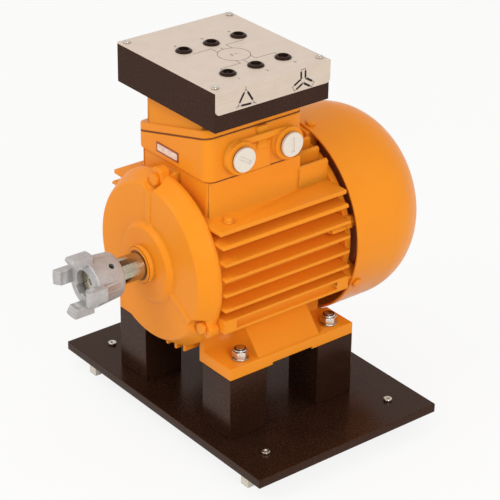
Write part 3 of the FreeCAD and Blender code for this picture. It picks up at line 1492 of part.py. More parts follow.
def make_socket_box():
    x0, x1, y0, y1 = case_span()
    floor = s.lid_top + s.case_wall
    outer = box("case_outer", x0, x1, y0, y1, s.lid_top, case_top)
    inner = box("case_inner", x0 + s.case_wall, x1 - s.case_wall, y0 + s.case_wall, y1 - s.case_wall,
                floor, case_top + s.overrun)
    posts = [rod(f"case_post{number}", "z", s.case_post_radius, floor, case_top, x, y)
             for number, (x, y) in enumerate(panel_screw_places())]
    tools = [cut("case_hollow", inner, group("case_posts", posts)),
             rod("case_cable_hole", "z", s.case_cable_hole, s.lid_top - s.overrun, floor + s.overrun, 0,
                 s.case_centre)]
    tools += panel_screw_holes("case")
    tools += case_screw_holes("case")
    node("socket_box", cut("case_cut", outer, group("case_tools", tools)), MOTOR)
    floor_screws = [pan_screw(f"case_screw{number}", x, y, floor, s.case_screw_radius,
                              s.case_screw_length + s.case_wall, s.case_screw_head_radius,
                              s.case_screw_head_height)
                    for number, (x, y) in enumerate(case_screw_places())]
    node("socket_box_screws", group("case_screw_set", floor_screws), MOTOR)


def panel_screw_holes(word):
    return [rod(f"{word}_panel_hole{number}", "z", s.panel_screw_radius,
                panel_top - s.panel_screw_length, panel_top + s.overrun, x, y)
            for number, (x, y) in enumerate(panel_screw_places())]


def make_panel():
    """The silver panel: a flat top sheet with a flap bent down over the box's near side."""
    x0, x1, y0, y1 = case_span()
    near = x1 + s.panel_thickness
    top = box("panel_top_sheet", x0, near, y0, y1, case_top, panel_top)
    bottom = panel_top - s.panel_flap
    corner = s.panel_flap_corner
    flap = prism("panel_flap", "YZ_Plane",
                 [(y0, case_top + s.panel_thickness / 2), (y1, case_top + s.panel_thickness / 2),
                  (y1, bottom + corner), (y1 - corner, bottom, corner), (y0 + corner, bottom),
                  (y0, bottom + corner, corner)], x1, near)
    tools = panel_screw_holes("panel")
    tools += [rod(f"socket_hole{number}", "z", s.socket_body_radius, case_top - s.overrun,
                  panel_top + s.overrun, x, y)
              for number, (x, y) in enumerate(socket_places)]
    node("front_panel", cut("panel_cut", fuse("panel_blank", [top, flap]), group("panel_tools", tools)),
         MOTOR)
    screws = [pan_screw(f"panel_screw{number}", x, y, panel_top, s.panel_screw_radius,
                        s.panel_screw_length, s.panel_screw_head_radius, s.panel_screw_head_height)
              for number, (x, y) in enumerate(panel_screw_places())]
    node("panel_screws", group("panel_screw_set", screws), MOTOR)


def make_sockets():
    """Safety sockets: a low domed black shroud, a bored contact sleeve and a nut below the panel."""
    top = panel_top + s.socket_collar_height
    rim_top = panel_top + s.socket_collar_rim
    bottom = panel_top - s.socket_body_depth
    shroud_floor = top - s.socket_shroud_depth
    sleeve_top = top - s.sleeve_top_depth
    bodies, sleeves, nuts = [], [], []
    for number, (x, y) in enumerate(socket_places):
        rim = rod(f"socket_rim{number}", "z", s.socket_collar_radius, panel_top, rim_top, x, y)
        dome = cone(f"socket_dome{number}", s.socket_collar_radius, s.socket_collar_top, rim_top, top, x, y)
        stem = rod(f"socket_stem{number}", "z", s.socket_body_radius, bottom, rim_top, x, y)
        shroud = rod(f"socket_shroud{number}", "z", s.socket_shroud_radius, shroud_floor,
                     top + s.overrun, x, y)
        bore = rod(f"socket_bore{number}", "z", s.sleeve_radius, bottom - s.overrun, top, x, y)
        bodies.append(cut(f"socket_body{number}", fuse(f"socket_blank{number}", [rim, dome, stem]),
                          group(f"socket_tools{number}", [shroud, bore])))
        sleeve_foot = sleeve_top - s.sleeve_length
        tube = rod(f"sleeve_tube{number}", "z", s.sleeve_radius, sleeve_foot, sleeve_top, x, y)
        hole = rod(f"sleeve_hole{number}", "z", s.sleeve_bore_radius, sleeve_foot - s.overrun,
                   sleeve_top + s.overrun, x, y)
        sleeves.append(cut(f"sleeve{number}", tube, hole))
        nut = hex_bar(f"socket_nut_body{number}", "z", s.socket_nut_flats, case_top - s.socket_nut_height,
                      case_top, x, y)
        thread = rod(f"socket_nut_thread{number}", "z", s.socket_body_radius,
                     case_top - s.socket_nut_height - s.overrun, case_top + s.overrun, x, y)
        nuts.append(cut(f"socket_nut{number}", nut, thread))
    node("socket_bodies", group("socket_body_set", bodies), MOTOR)
    node("socket_sleeves", group("socket_sleeve_set", sleeves), MOTOR)
    node("socket_nuts", group("socket_nut_set", nuts), MOTOR)


make_base_plate()
make_runners()
make_runner_screws()
make_columns()
make_foot_bolts()
make_housing()
make_flange_screws()
make_drive_shield()
make_rear_shield()
make_shield_screws()
make_bearing("front", front_bearing)
make_bearing("rear", rear_bearing)
make_seal_and_washer()
make_stator()
make_rotor()
make_shaft()
make_key()
make_hub()
make_set_screw()
make_fan()
make_cover()
make_cover_screws()
make_terminal_box()
make_gaskets()
make_lid()
make_lid_screws()
make_terminal_board()
make_plugs()
make_label()
make_socket_box()
make_panel()
make_sockets()
doc.recompute()

# Check every object and every piece, then write one file for each piece

failed = [obj.Label for obj in doc.Objects if "Invalid" in obj.State or "Error" in obj.State]
if failed:
    raise RuntimeError("objects that did not build: " + ", ".join(failed))
os.makedirs("parts", exist_ok=True)
for piece in NODES:
    shape = piece.Shape
    if shape.isNull() or not shape.isValid() or not shape.Solids:
        raise RuntimeError(f"{piece.Label} has no sound shape")
    print(f"{piece.Label}: {len(shape.Solids)} solid(s), {shape.Volume:.1f} mm3")
for piece in NODES:
    piece.Shape.exportStep(os.path.join("parts", f"{piece.Label}.step"))
print(f"{len(NODES)} nodes written")
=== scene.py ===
# %% [markdown]
# # Dressing a classroom demonstration motor
# The CAD model already holds every solid of the motor at its true size. This lesson gives each
# surface the finish of the real thing: orange enamel on rough castings, black plates, turned
# steel, a silver panel with its printed diagram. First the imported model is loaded. It is the
# fixed frame: its nodes are never moved, only painted and given softer edges.

import json
import math
import bmesh
import bpy
from mathutils import Matrix, Vector


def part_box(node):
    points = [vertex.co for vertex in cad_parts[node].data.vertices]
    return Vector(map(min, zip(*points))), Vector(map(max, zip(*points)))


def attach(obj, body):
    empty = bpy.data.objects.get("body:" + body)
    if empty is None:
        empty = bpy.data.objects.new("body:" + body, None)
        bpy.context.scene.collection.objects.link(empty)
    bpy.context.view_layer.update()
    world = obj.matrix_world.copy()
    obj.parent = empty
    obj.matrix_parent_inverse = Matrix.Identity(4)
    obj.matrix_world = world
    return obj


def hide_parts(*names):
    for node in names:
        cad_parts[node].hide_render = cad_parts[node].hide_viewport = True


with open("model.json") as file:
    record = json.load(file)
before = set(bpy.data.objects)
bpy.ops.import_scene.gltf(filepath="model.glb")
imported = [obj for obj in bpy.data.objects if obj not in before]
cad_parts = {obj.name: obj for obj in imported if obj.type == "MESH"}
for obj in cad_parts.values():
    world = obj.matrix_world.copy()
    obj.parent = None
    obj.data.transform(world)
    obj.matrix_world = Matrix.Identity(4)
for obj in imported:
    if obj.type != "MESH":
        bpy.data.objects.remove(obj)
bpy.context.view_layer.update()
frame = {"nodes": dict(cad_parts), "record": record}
MM = 0.001

# %% [markdown]
# ## A way to wire materials
# Every finish below is a small network of nodes. Writing a network by hand is long, so one
# helper places a node, sets its options and feeds its inputs in a single call. A feed is either
# a plain value or the output of another node.

# %% A node with its feeds
def put(tree, kind, feeds=None, **options):
    """One node in a tree; feeds maps an input's name or number to a value or to an output."""
    made = tree.nodes.new("ShaderNode" + kind)
    for option, value in options.items():
        setattr(made, option, value)
    for socket, value in (feeds or {}).items():
        if isinstance(value, bpy.types.NodeSocket):
            tree.links.new(value, made.inputs[socket])
        else:
            made.inputs[socket].default_value = value
    return made


print("a node is placed, set and fed in one call")

# %% [markdown]
# Four kinds of node come back all the time: a sum, a mix of two colours, a stretched range and
# cloudy noise. Each gets a short helper. Object coordinates are metres, so the scale of a noise is
# about the number of its clouds in a metre. Its octaves are the finer clouds laid on the large
# ones, and its crispness is how strong those are. A Mix node has sockets of one name for numbers
# and for colours, so the colour ones are picked by their place in the row.

# %% Sums, mixes, ranges and noise
FEW_OCTAVES = 2.0
SOME_OCTAVES = 3.0
MANY_OCTAVES = 4.0
SOFT = 0.5
CRISP = 0.6
MIX_FACTOR, MIX_LOW, MIX_HIGH, MIX_RESULT = 0, 6, 7, 2


def sums(tree, operation, first, second, third=None):
    """The result of a Math node."""
    feeds = {0: first, 1: second}
    if third is not None:
        feeds[2] = third
    return put(tree, "Math", feeds, operation=operation).outputs[0]


def between(tree, factor, low, high):
    """A colour between two colours."""
    feeds = {MIX_FACTOR: factor, MIX_LOW: low, MIX_HIGH: high}
    return put(tree, "Mix", feeds, data_type="RGBA").outputs[MIX_RESULT]


def ramp(tree, value, low, high, start=0.0, end=1.0):
    """A value stretched from one range to another, and held at its ends."""
    feeds = {"Value": value, "From Min": low, "From Max": high, "To Min": start, "To Max": end}
    return put(tree, "MapRange", feeds, clamp=True).outputs[0]


def noise(tree, vector, scale, octaves=SOME_OCTAVES, crispness=SOFT):
    """Cloudy noise from 0 to 1."""
    feeds = {"Vector": vector, "Scale": scale, "Detail": octaves, "Roughness": crispness}
    return put(tree, "TexNoise", feeds).outputs[0]


print("wiring helpers ready")

# %% [markdown]
# ## Effects that several finishes share
# The same few effects come back on many surfaces: worn edges, dirt and painted shade in corners,
# the orange peel of sprayed enamel, the grain of a moulding and the fine lines of a lathe or a
# brush. Each is a node group with named inputs, so that every material can set its own strength.
# A group gives only masks, colours and heights. The shader itself stays in the material.

# %% A new group with its sockets
def shared_effect(name, inputs, outputs):
    """An empty node group with named sockets, and its two end nodes."""
    tree = bpy.data.node_groups.new(name, "ShaderNodeTree")
    for title, kind, value in inputs:
        socket = tree.interface.new_socket(title, in_out="INPUT", socket_type="NodeSocket" + kind)
        if value is not None:
            socket.default_value = value
    for title, kind in outputs:
        tree.interface.new_socket(title, in_out="OUTPUT", socket_type="NodeSocket" + kind)
    return tree, tree.nodes.new("NodeGroupInput"), tree.nodes.new("NodeGroupOutput")


def use(tree, group, feeds):
    """A group placed in a material."""
    return put(tree, "Group", feeds, node_tree=group)


print("group helpers ready")

# %% [markdown]
# Worn edges. A Bevel node answers with the normal that a rounded edge would have. Where it
# differs from the true normal there is an edge, and noise breaks the line up, because paint
# comes off in spots. On the orange enamel these pale edges are also painted highlights.

# %% Worn edges
WEAR_SAMPLES = 4
ALIKE_ON_A_FACE = 0.97
ALIKE_ON_AN_EDGE = 0.80
SPOT_BORDER = 0.12
worn_edges, start, end = shared_effect(
    "worn edges",
    [("Vector", "Vector", None), ("Width", "Float", 0.8 * MM), ("Spots", "Float", 400.0),
     ("Cover", "Float", 0.5)],
    [("Mask", "Float")])
rounded = put(worn_edges, "Bevel", {"Radius": start.outputs["Width"]}, samples=WEAR_SAMPLES)
true_normal = put(worn_edges, "NewGeometry").outputs["Normal"]
likeness = put(worn_edges, "VectorMath", {0: rounded.outputs[0], 1: true_normal},
               operation="DOT_PRODUCT").outputs["Value"]
edge = ramp(worn_edges, likeness, ALIKE_ON_A_FACE, ALIKE_ON_AN_EDGE)
spots = noise(worn_edges, start.outputs["Vector"], start.outputs["Spots"], MANY_OCTAVES, CRISP)
border = sums(worn_edges, "ADD", start.outputs["Cover"], SPOT_BORDER)
bare = ramp(worn_edges, spots, start.outputs["Cover"], border)
worn_edges.links.new(sums(worn_edges, "MULTIPLY", edge, bare), end.inputs["Mask"])
print("group:", worn_edges.name)

# %% [markdown]
# Corner shade and dirt. Where a surface is closed in by its neighbours, such as between cooling
# fins, Ambient Occlusion darkens its colour. This is painted shade, and it also stands for the dust
# and old polish that gather there.

# %% Corner shade and dirt
OPENNESS_SAMPLES = 6
OPEN_TO_THE_AIR = 0.9
CLOSED_IN = 0.25
DUST_CLOUDS = 70.0
CLOUD_RANGE = (0.25, 0.75)
THINNEST_DUST = 0.55
corner_shade_and_dirt, start, end = shared_effect(
    "corner shade and dirt",
    [("Vector", "Vector", None), ("Reach", "Float", 12.0 * MM), ("Amount", "Float", 0.6)],
    [("Mask", "Float")])
openness = put(corner_shade_and_dirt, "AmbientOcclusion", {"Distance": start.outputs["Reach"]},
               samples=OPENNESS_SAMPLES)
closed = ramp(corner_shade_and_dirt, openness.outputs["AO"], OPEN_TO_THE_AIR, CLOSED_IN)
clouds = noise(corner_shade_and_dirt, start.outputs["Vector"], DUST_CLOUDS, MANY_OCTAVES)
uneven = ramp(corner_shade_and_dirt, clouds, *CLOUD_RANGE, start=THINNEST_DUST)
# painted shade where the surface is closed in, broken up by clouds of dust
closed_in_shade_and_dust = sums(corner_shade_and_dirt, "MULTIPLY", closed, uneven)
corner_shade_and_dirt.links.new(sums(corner_shade_and_dirt, "MULTIPLY", closed_in_shade_and_dust, start.outputs["Amount"]), end.inputs["Mask"])
print("group:", corner_shade_and_dirt.name)

# %% [markdown]
# Sprayed enamel. Its noise comes in four sizes: slow drifts in shade where the coat is thicker,
# a finer mottle, the rough skin of the casting below, and the small dimples of the spray.

# %% Sprayed enamel
DRIFTS = 9.0
MOTTLES = 55.0
CASTING_LUMPS = 260.0
LUMP_CRISPNESS = 0.55
DIMPLES = 900.0
DRIFT_SHARE = 0.7
DIMPLE_SHARE = 0.25
SHADE_RANGE = (0.3, 0.7)
DULLNESS_CHANGE = (-0.06, 0.10)
sprayed_enamel, start, end = shared_effect(
    "sprayed enamel",
    [("Vector", "Vector", None), ("Paint", "Color", (0.8, 0.3, 0.05, 1.0)),
     ("Thin paint", "Color", (0.7, 0.2, 0.03, 1.0)), ("Casting", "Float", 0.5),
     ("Dullness", "Float", 0.35)],
    [("Color", "Color"), ("Roughness", "Float"), ("Height", "Float")])
place = start.outputs["Vector"]
drift = noise(sprayed_enamel, place, DRIFTS)
mottle = noise(sprayed_enamel, place, MOTTLES, MANY_OCTAVES, CRISP)
shade = sums(sprayed_enamel, "MULTIPLY_ADD", drift, DRIFT_SHARE,
             sums(sprayed_enamel, "MULTIPLY", mottle, 1 - DRIFT_SHARE))
coat = between(sprayed_enamel, ramp(sprayed_enamel, shade, *SHADE_RANGE),
               start.outputs["Thin paint"], start.outputs["Paint"])
sprayed_enamel.links.new(coat, end.inputs["Color"])
skin = noise(sprayed_enamel, place, CASTING_LUMPS, crispness=LUMP_CRISPNESS)
dimples = noise(sprayed_enamel, place, DIMPLES, FEW_OCTAVES)
rough_skin = sums(sprayed_enamel, "MULTIPLY", skin, start.outputs["Casting"])
relief = sums(sprayed_enamel, "MULTIPLY_ADD", dimples, DIMPLE_SHARE, rough_skin)
sprayed_enamel.links.new(relief, end.inputs["Height"])
dull = ramp(sprayed_enamel, mottle, *SHADE_RANGE, *DULLNESS_CHANGE)
sprayed_enamel.links.new(sums(sprayed_enamel, "ADD", start.outputs["Dullness"], dull), end.inputs["Roughness"])
print("group:", sprayed_enamel.name)

# %% [markdown]
# Moulded grain. Plastic that was moulded in a spark-eroded tool has a fine pebbled surface. Its
# light catches on the pebbles, so the shade flickers slightly as well.

# %% Moulded grain
FLECKS_PER_PEBBLE = 0.45
FLECK_CRISPNESS = 0.7
FLECK_RANGE = (0.42, 0.68)
HANDLED_PATCHES = 24.0
HANDLED_RANGE = (0.35, 0.7)
FEWEST_FLECKS = 0.25
HANDLED_DULLING = 0.16
moulded_grain, start, end = shared_effect(
    "moulded grain",
    [("Vector", "Vector", None), ("Base", "Color", (0.05, 0.05, 0.05, 1.0)),
     ("Fleck", "Color", (0.1, 0.1, 0.1, 1.0)), ("Pebbles", "Float", 1400.0),
     ("Dullness", "Float", 0.4)],
    [("Color", "Color"), ("Roughness", "Float"), ("Height", "Float")])
place = start.outputs["Vector"]
pebbles = put(moulded_grain, "TexVoronoi", {"Vector": place, "Scale": start.outputs["Pebbles"]})
fine_scale = sums(moulded_grain, "MULTIPLY", start.outputs["Pebbles"], FLECKS_PER_PEBBLE)
fine = noise(moulded_grain, place, fine_scale, crispness=FLECK_CRISPNESS)
slow = noise(moulded_grain, place, HANDLED_PATCHES)
fleck = ramp(moulded_grain, fine, *FLECK_RANGE)
handled = ramp(moulded_grain, slow, *HANDLED_RANGE, start=FEWEST_FLECKS)
tint = between(moulded_grain, sums(moulded_grain, "MULTIPLY", fleck, handled),
               start.outputs["Base"], start.outputs["Fleck"])
moulded_grain.links.new(tint, end.inputs["Color"])
moulded_grain.links.new(pebbles.outputs["Distance"], end.inputs["Height"])
matt = sums(moulded_grain, "MULTIPLY_ADD", slow, HANDLED_DULLING, start.outputs["Dullness"])
moulded_grain.links.new(matt, end.inputs["Roughness"])
print("group:", moulded_grain.name)

# %% [markdown]
# Tool lines. A lathe leaves fine rings across the shaft's length and a brush leaves long
# scratches along a sheet. Both are noise that is stretched: it changes quickly in one direction
# and hardly at all in the others, so the scale is given for each axis.

# %% Tool lines
STRETCHED_SCALE = 1.0
STAINS = 80.0
LINE_SHARE = 0.6
LINE_RANGE = (0.35, 0.65)
STAIN_DULLING = 0.18
tool_lines, start, end = shared_effect(
    "tool lines",
    [("Vector", "Vector", None), ("Stretch", "Vector", (20.0, 3000.0, 20.0)),
     ("Dark", "Color", (0.4, 0.4, 0.4, 1.0)), ("Bright", "Color", (0.7, 0.7, 0.7, 1.0)),
     ("Dullness", "Float", 0.25)],
    [("Color", "Color"), ("Roughness", "Float"), ("Height", "Float")])
place = start.outputs["Vector"]
drawn_out = put(tool_lines, "VectorMath", {0: place, 1: start.outputs["Stretch"]},
                operation="MULTIPLY").outputs[0]
lines = noise(tool_lines, drawn_out, STRETCHED_SCALE, MANY_OCTAVES, CRISP)
stains = noise(tool_lines, place, STAINS, MANY_OCTAVES, CRISP)
mixed = sums(tool_lines, "MULTIPLY_ADD", lines, LINE_SHARE,
             sums(tool_lines, "MULTIPLY", stains, 1 - LINE_SHARE))
metal = between(tool_lines, ramp(tool_lines, mixed, *LINE_RANGE),
                start.outputs["Dark"], start.outputs["Bright"])
tool_lines.links.new(metal, end.inputs["Color"])
worn_sheen = sums(tool_lines, "MULTIPLY_ADD", stains, STAIN_DULLING, start.outputs["Dullness"])
tool_lines.links.new(worn_sheen, end.inputs["Roughness"])
tool_lines.links.new(lines, end.inputs["Height"])
print("group:", tool_lines.name)

# %% [markdown]
# ## The finishes
# Each finish starts the same way: object coordinates, a Principled shader and a Bump node. What
# follows differs from one finish to the next. Colours are written as the eye sees them, from 0
# to 255, and turned into the linear numbers that the renderer works with. The curve between the
# two is straight in the darkest shades and a power above them.

# %% Colours as the eye sees them
WHITE_LEVEL = 255
STRAIGHT_END = 0.04045
STRAIGHT_DIVISOR = 12.92
CURVE_SHIFT = 0.055
CURVE_DIVISOR = 1.055
CURVE_POWER = 2.4


def linear(level):
    """One level of a screen colour as a linear number."""
    share = level / WHITE_LEVEL
    if share <= STRAIGHT_END:
        return share / STRAIGHT_DIVISOR
    return ((share + CURVE_SHIFT) / CURVE_DIVISOR) ** CURVE_POWER


def seen(red, green, blue):
    """A colour as it looks on a screen, as linear numbers."""
    return (linear(red), linear(green), linear(blue), 1.0)


print("half of white on a screen is", round(linear(WHITE_LEVEL / 2), 3), "of its light")

# %% [markdown]
# A number that is the same all over a surface, such as how metallic it is, is set on the shader's
# own socket. Colour, roughness and relief change from place to place, so they come from a group.

# %% A bare finish
FINISHES = {}


def finish(slot, **sockets):
    """A new material for a slot of the record: its tree, shader and object coordinates."""
    material = bpy.data.materials.new("finish_" + slot)
    material.use_nodes = True
    tree = material.node_tree
    shader = tree.nodes["Principled BSDF"]
    for title, value in sockets.items():
        shader.inputs[title.replace("_", " ")].default_value = value
    FINISHES[slot] = material
    return tree, shader, put(tree, "TexCoord").outputs["Object"]


def skin_of(tree, shader, effect, strength, depth):
    """Joins an effect's colour, roughness and relief to the shader."""
    tree.links.new(effect.outputs["Color"], shader.inputs["Base Color"])
    tree.links.new(effect.outputs["Roughness"], shader.inputs["Roughness"])
    bump = put(tree, "Bump", {"Height": effect.outputs["Height"], "Strength": strength, "Distance": depth})
    tree.links.new(bump.outputs[0], shader.inputs["Normal"])
    return bump


print("finish helpers ready")

# %% [markdown]
# ### Orange enamel
# The motor was sprayed orange over everything, screws included. Thick paint fills every inner
# corner, which a Bevel node imitates: it bends the normal near an edge as a fillet would, at no
# cost in geometry. In the recesses the colour is deeper, as dirt and as painted shade, and a few
# edges are rubbed pale, which is wear and a painted highlight along the edges.

# %% Orange enamel on castings and on sheet steel
ORANGE = seen(242, 149, 38)
DEEP_ORANGE = seen(237, 140, 30)
DIRT_AND_SHADE_ORANGE = seen(206, 108, 20)
RUBBED_AND_HIGHLIT_ORANGE = seen(254, 190, 110)
PAINT_ROUNDING = 2.0 * MM
ROUNDING_SAMPLES = 6


def orange_enamel(slot, casting, dullness, depth):
    """Orange enamel over a skin of a given roughness."""
    tree, shader, place = finish(slot, Specular_IOR_Level=0.16, Specular_Tint=seen(255, 200, 140),
                                 Coat_Weight=0.12, Coat_Roughness=0.20)
    enamel = use(tree, sprayed_enamel, {"Vector": place, "Paint": ORANGE, "Thin paint": DEEP_ORANGE,
                                        "Casting": casting, "Dullness": dullness})
    relief = skin_of(tree, shader, enamel, strength=0.5, depth=depth)
    filled = put(tree, "Bevel", {"Radius": PAINT_ROUNDING}, samples=ROUNDING_SAMPLES)
    tree.links.new(filled.outputs[0], relief.inputs["Normal"])
    # darker orange in closed-in corners: dirt and painted shade
    shade_and_dirt = use(tree, corner_shade_and_dirt, {"Vector": place, "Reach": 6.0 * MM, "Amount": 0.22})
    # pale edges: rubbed paint and painted highlights along the edges
    wear = use(tree, worn_edges, {"Vector": place, "Width": 0.9 * MM, "Spots": 210.0, "Cover": 0.42})
    shaded_and_dirty = between(tree, shade_and_dirt.outputs["Mask"], enamel.outputs["Color"], DIRT_AND_SHADE_ORANGE)
    rubbed_and_highlit = between(tree, wear.outputs["Mask"], shaded_and_dirty, RUBBED_AND_HIGHLIT_ORANGE)
    tree.links.new(rubbed_and_highlit, shader.inputs["Base Color"])


orange_enamel("orange_casting", casting=1.0, dullness=0.40, depth=0.35 * MM)
orange_enamel("orange_steel", casting=0.25, dullness=0.34, depth=0.15 * MM)
print("finishes so far:", list(FINISHES))

# %% [markdown]
# ### Black stand
# The base plate and columns are black laminated board with a smooth face. It mirrors softly what
# stands on it, with a warm brown tint, and fine brown flecks show in the light. The tint of the
# mirror image is the shader's own specular tint, the same all over, so it is set on the shader.

# %% Black stand
BOARD = seen(38, 22, 14)
BOARD_FLECK = seen(60, 38, 26)
RUBBED_BOARD = seen(104, 76, 58)
tree, shader, place = finish("black_stand", Specular_IOR_Level=0.22, Specular_Tint=seen(255, 165, 115))
board = use(tree, moulded_grain, {"Vector": place, "Base": BOARD, "Fleck": BOARD_FLECK,
                                  "Pebbles": 1100.0, "Dullness": 0.14})
skin_of(tree, shader, board, strength=0.05, depth=0.1 * MM)
wear = use(tree, worn_edges, {"Vector": place, "Width": 0.8 * MM, "Spots": 300.0, "Cover": 0.42})
tree.links.new(between(tree, wear.outputs["Mask"], board.outputs["Color"], RUBBED_BOARD),
               shader.inputs["Base Color"])
print("finishes so far:", len(FINISHES))

# %% [markdown]
# ### Plain plastics and rubber
# The remaining mouldings share one recipe with their own colours: the grained black socket box,
# the glossy sockets, the white blanking plugs and runners, the fan and the seals. Their corners
# are darkened, as dust and as painted shade, and their edges are worn to the colour of the flecks.

# %% A recipe for plastics and rubber
DUST_AND_SHADE = seen(52, 44, 38)
DUST_AND_SHADE_REACH = 4.0 * MM
PEBBLE_DEPTH = 0.2 * MM


def moulding(slot, base, fleck, pebbles, dullness, relief, dust_and_shade=DUST_AND_SHADE, dust_and_shade_amount=0.35, **sockets):
    """A moulded plastic or rubber with its own colours, grain, and dust and painted shade in its corners."""
    tree, shader, place = finish(slot, **sockets)
    grain = use(tree, moulded_grain, {"Vector": place, "Base": base, "Fleck": fleck,
                                      "Pebbles": pebbles, "Dullness": dullness})
    skin_of(tree, shader, grain, relief, PEBBLE_DEPTH)
    # closed-in corners darkened as dust and as painted shade
    shade_and_dirt = use(tree, corner_shade_and_dirt, {"Vector": place, "Reach": DUST_AND_SHADE_REACH, "Amount": dust_and_shade_amount})
    shaded = between(tree, shade_and_dirt.outputs["Mask"], grain.outputs["Color"], dust_and_shade)
    wear = use(tree, worn_edges, {"Vector": place, "Width": 0.5 * MM, "Spots": 500.0, "Cover": 0.55})
    tree.links.new(between(tree, wear.outputs["Mask"], shaded, fleck), shader.inputs["Base Color"])


print("recipe for mouldings ready")

# %% [markdown]
# The black parts come first, then the fan and what lies inside the terminal box, and then the
# rubber and the nylon. Moulded faces are rarely glossy, so most of the dullness values are high.

# %% Dark plastics and rubber
moulding("case_black", base=seen(54, 35, 27), fleck=seen(74, 51, 40), pebbles=1100.0,
         dullness=0.56, relief=0.35, Specular_IOR_Level=0.1)
moulding("socket_black", base=seen(24, 14, 12), fleck=seen(44, 28, 22), pebbles=2600.0,
         dullness=0.26, relief=0.05, Specular_IOR_Level=0.3, Specular_Tint=seen(255, 190, 150))
# the fan is a pale warm brown so that the shaded gap between the fins' ends and the fan cover looks lit:
# painted light
moulding("fan_plastic", base=seen(186, 112, 72), fleck=seen(200, 126, 84), pebbles=1300.0,
         dullness=0.45, relief=0.2, dust_and_shade=seen(150, 88, 56))
moulding("board_plastic", base=seen(92, 58, 36), fleck=seen(126, 84, 54), pebbles=1500.0,
         dullness=0.35, relief=0.15)
moulding("seal_rubber", base=seen(40, 32, 28), fleck=seen(60, 50, 44), pebbles=1600.0,
         dullness=0.6, relief=0.2)
moulding("gasket_rubber", base=seen(112, 58, 18), fleck=seen(140, 76, 26), pebbles=1600.0,
         dullness=0.7, relief=0.25, dust_and_shade=seen(96, 46, 14))
moulding("nylon_ring", base=seen(52, 26, 24), fleck=seen(76, 42, 36), pebbles=2000.0,
         dullness=0.35, relief=0.05)
print("finishes so far:", len(FINISHES))

# %% [markdown]
# The plugs and runners are white plastic that has picked up dust. On the plugs the corner
# darkening is at full strength, which paints shade into the slots of their faces. The small plate
# has a dark and a pale finish, and the printing has two inks, a grey one for thin lines and a black
# one for bars.

# %% Pale plastics, the small plate and the inks
# full-strength corner darkening: painted shade in the plugs' slots, with dust
moulding("plug_white", base=seen(228, 219, 206), fleck=seen(218, 208, 194), pebbles=2200.0,
         dullness=0.34, relief=0.06, dust_and_shade=seen(150, 142, 140), dust_and_shade_amount=1.0)
moulding("white_runner", base=seen(232, 226, 214), fleck=seen(216, 206, 190), pebbles=1800.0,
         dullness=0.42, relief=0.12)
moulding("label_plain", base=seen(146, 62, 30), fleck=seen(176, 84, 46), pebbles=1800.0,
         dullness=0.30, relief=0.05)
moulding("label_face", base=seen(238, 214, 198), fleck=seen(206, 150, 118), pebbles=700.0,
         dullness=0.34, relief=0.05)
moulding("print_ink", base=seen(52, 46, 48), fleck=seen(74, 66, 66), pebbles=2400.0,
         dullness=0.5, relief=0.02)
moulding("bold_ink", base=seen(22, 20, 24), fleck=seen(40, 36, 40), pebbles=2400.0,
         dullness=0.5, relief=0.02)
print("finishes so far:", len(FINISHES))

# %% [markdown]
# ### Bare metals
# The shaft is turned, the hub cast and skimmed, the fasteners zinc plated. What tells them apart
# is the direction and depth of the tool lines and how warm the reflection is. All are fully
# metallic but the hub, whose dull cast skin scatters part of the light as paint would.

# %% A recipe for metals
METAL_DIRT_AND_SHADE = seen(92, 78, 64)
LINE_DEPTH = 0.06 * MM


def bare_metal(slot, dark, bright, stretch, dullness, relief, shine=1.0):
    """A bare metal with tool lines; stretch gives lines per metre along each axis."""
    tree, shader, place = finish(slot, Metallic=shine)
    lines = use(tree, tool_lines, {"Vector": place, "Stretch": stretch, "Dark": dark,
                                   "Bright": bright, "Dullness": dullness})
    skin_of(tree, shader, lines, relief, LINE_DEPTH)
    # closed-in corners darkened as dirt and as painted shade
    shade_and_dirt = use(tree, corner_shade_and_dirt, {"Vector": place, "Reach": DUST_AND_SHADE_REACH, "Amount": 0.5})
    tree.links.new(between(tree, shade_and_dirt.outputs["Mask"], lines.outputs["Color"], METAL_DIRT_AND_SHADE),
                   shader.inputs["Base Color"])


print("recipe for metals ready")

# %% [markdown]
# The shaft runs along the second axis, so its lathe rings need many lines along that one. The
# sleeves and terminal studs stand upright, and theirs change fastest along the third.

# %% Metals outside and inside the motor
bare_metal("shaft_steel", dark=seen(158, 148, 124), bright=seen(204, 198, 180),
           stretch=(30.0, 2400.0, 30.0), dullness=0.05, relief=0.25)
bare_metal("hub_alloy", dark=seen(178, 176, 176), bright=seen(200, 198, 197),
           stretch=(240.0, 900.0, 240.0), dullness=0.44, relief=0.35, shine=0.6)
bare_metal("zinc_steel", dark=seen(190, 184, 174), bright=seen(236, 232, 224),
           stretch=(500.0, 500.0, 500.0), dullness=0.18, relief=0.2)
bare_metal("dark_steel", dark=seen(40, 36, 34), bright=seen(66, 60, 56),
           stretch=(500.0, 500.0, 500.0), dullness=0.4, relief=0.2)
bare_metal("bearing_steel", dark=seen(190, 190, 192), bright=seen(226, 226, 228),
           stretch=(60.0, 2600.0, 60.0), dullness=0.14, relief=0.15)
bare_metal("sleeve_plate", dark=seen(196, 190, 178), bright=seen(236, 230, 220),
           stretch=(40.0, 40.0, 2400.0), dullness=0.16, relief=0.2)
bare_metal("lamination", dark=seen(92, 92, 98), bright=seen(134, 134, 140),
           stretch=(20.0, 2000.0, 20.0), dullness=0.40, relief=0.8)
bare_metal("rotor_alloy", dark=seen(168, 170, 174), bright=seen(204, 206, 210),
           stretch=(120.0, 500.0, 120.0), dullness=0.38, relief=0.4)
bare_metal("winding_copper", dark=seen(150, 72, 34), bright=seen(206, 118, 62),
           stretch=(30.0, 1300.0, 30.0), dullness=0.34, relief=1.0)
bare_metal("terminal_brass", dark=seen(176, 140, 72), bright=seen(216, 184, 112),
           stretch=(60.0, 60.0, 1800.0), dullness=0.24, relief=0.3)
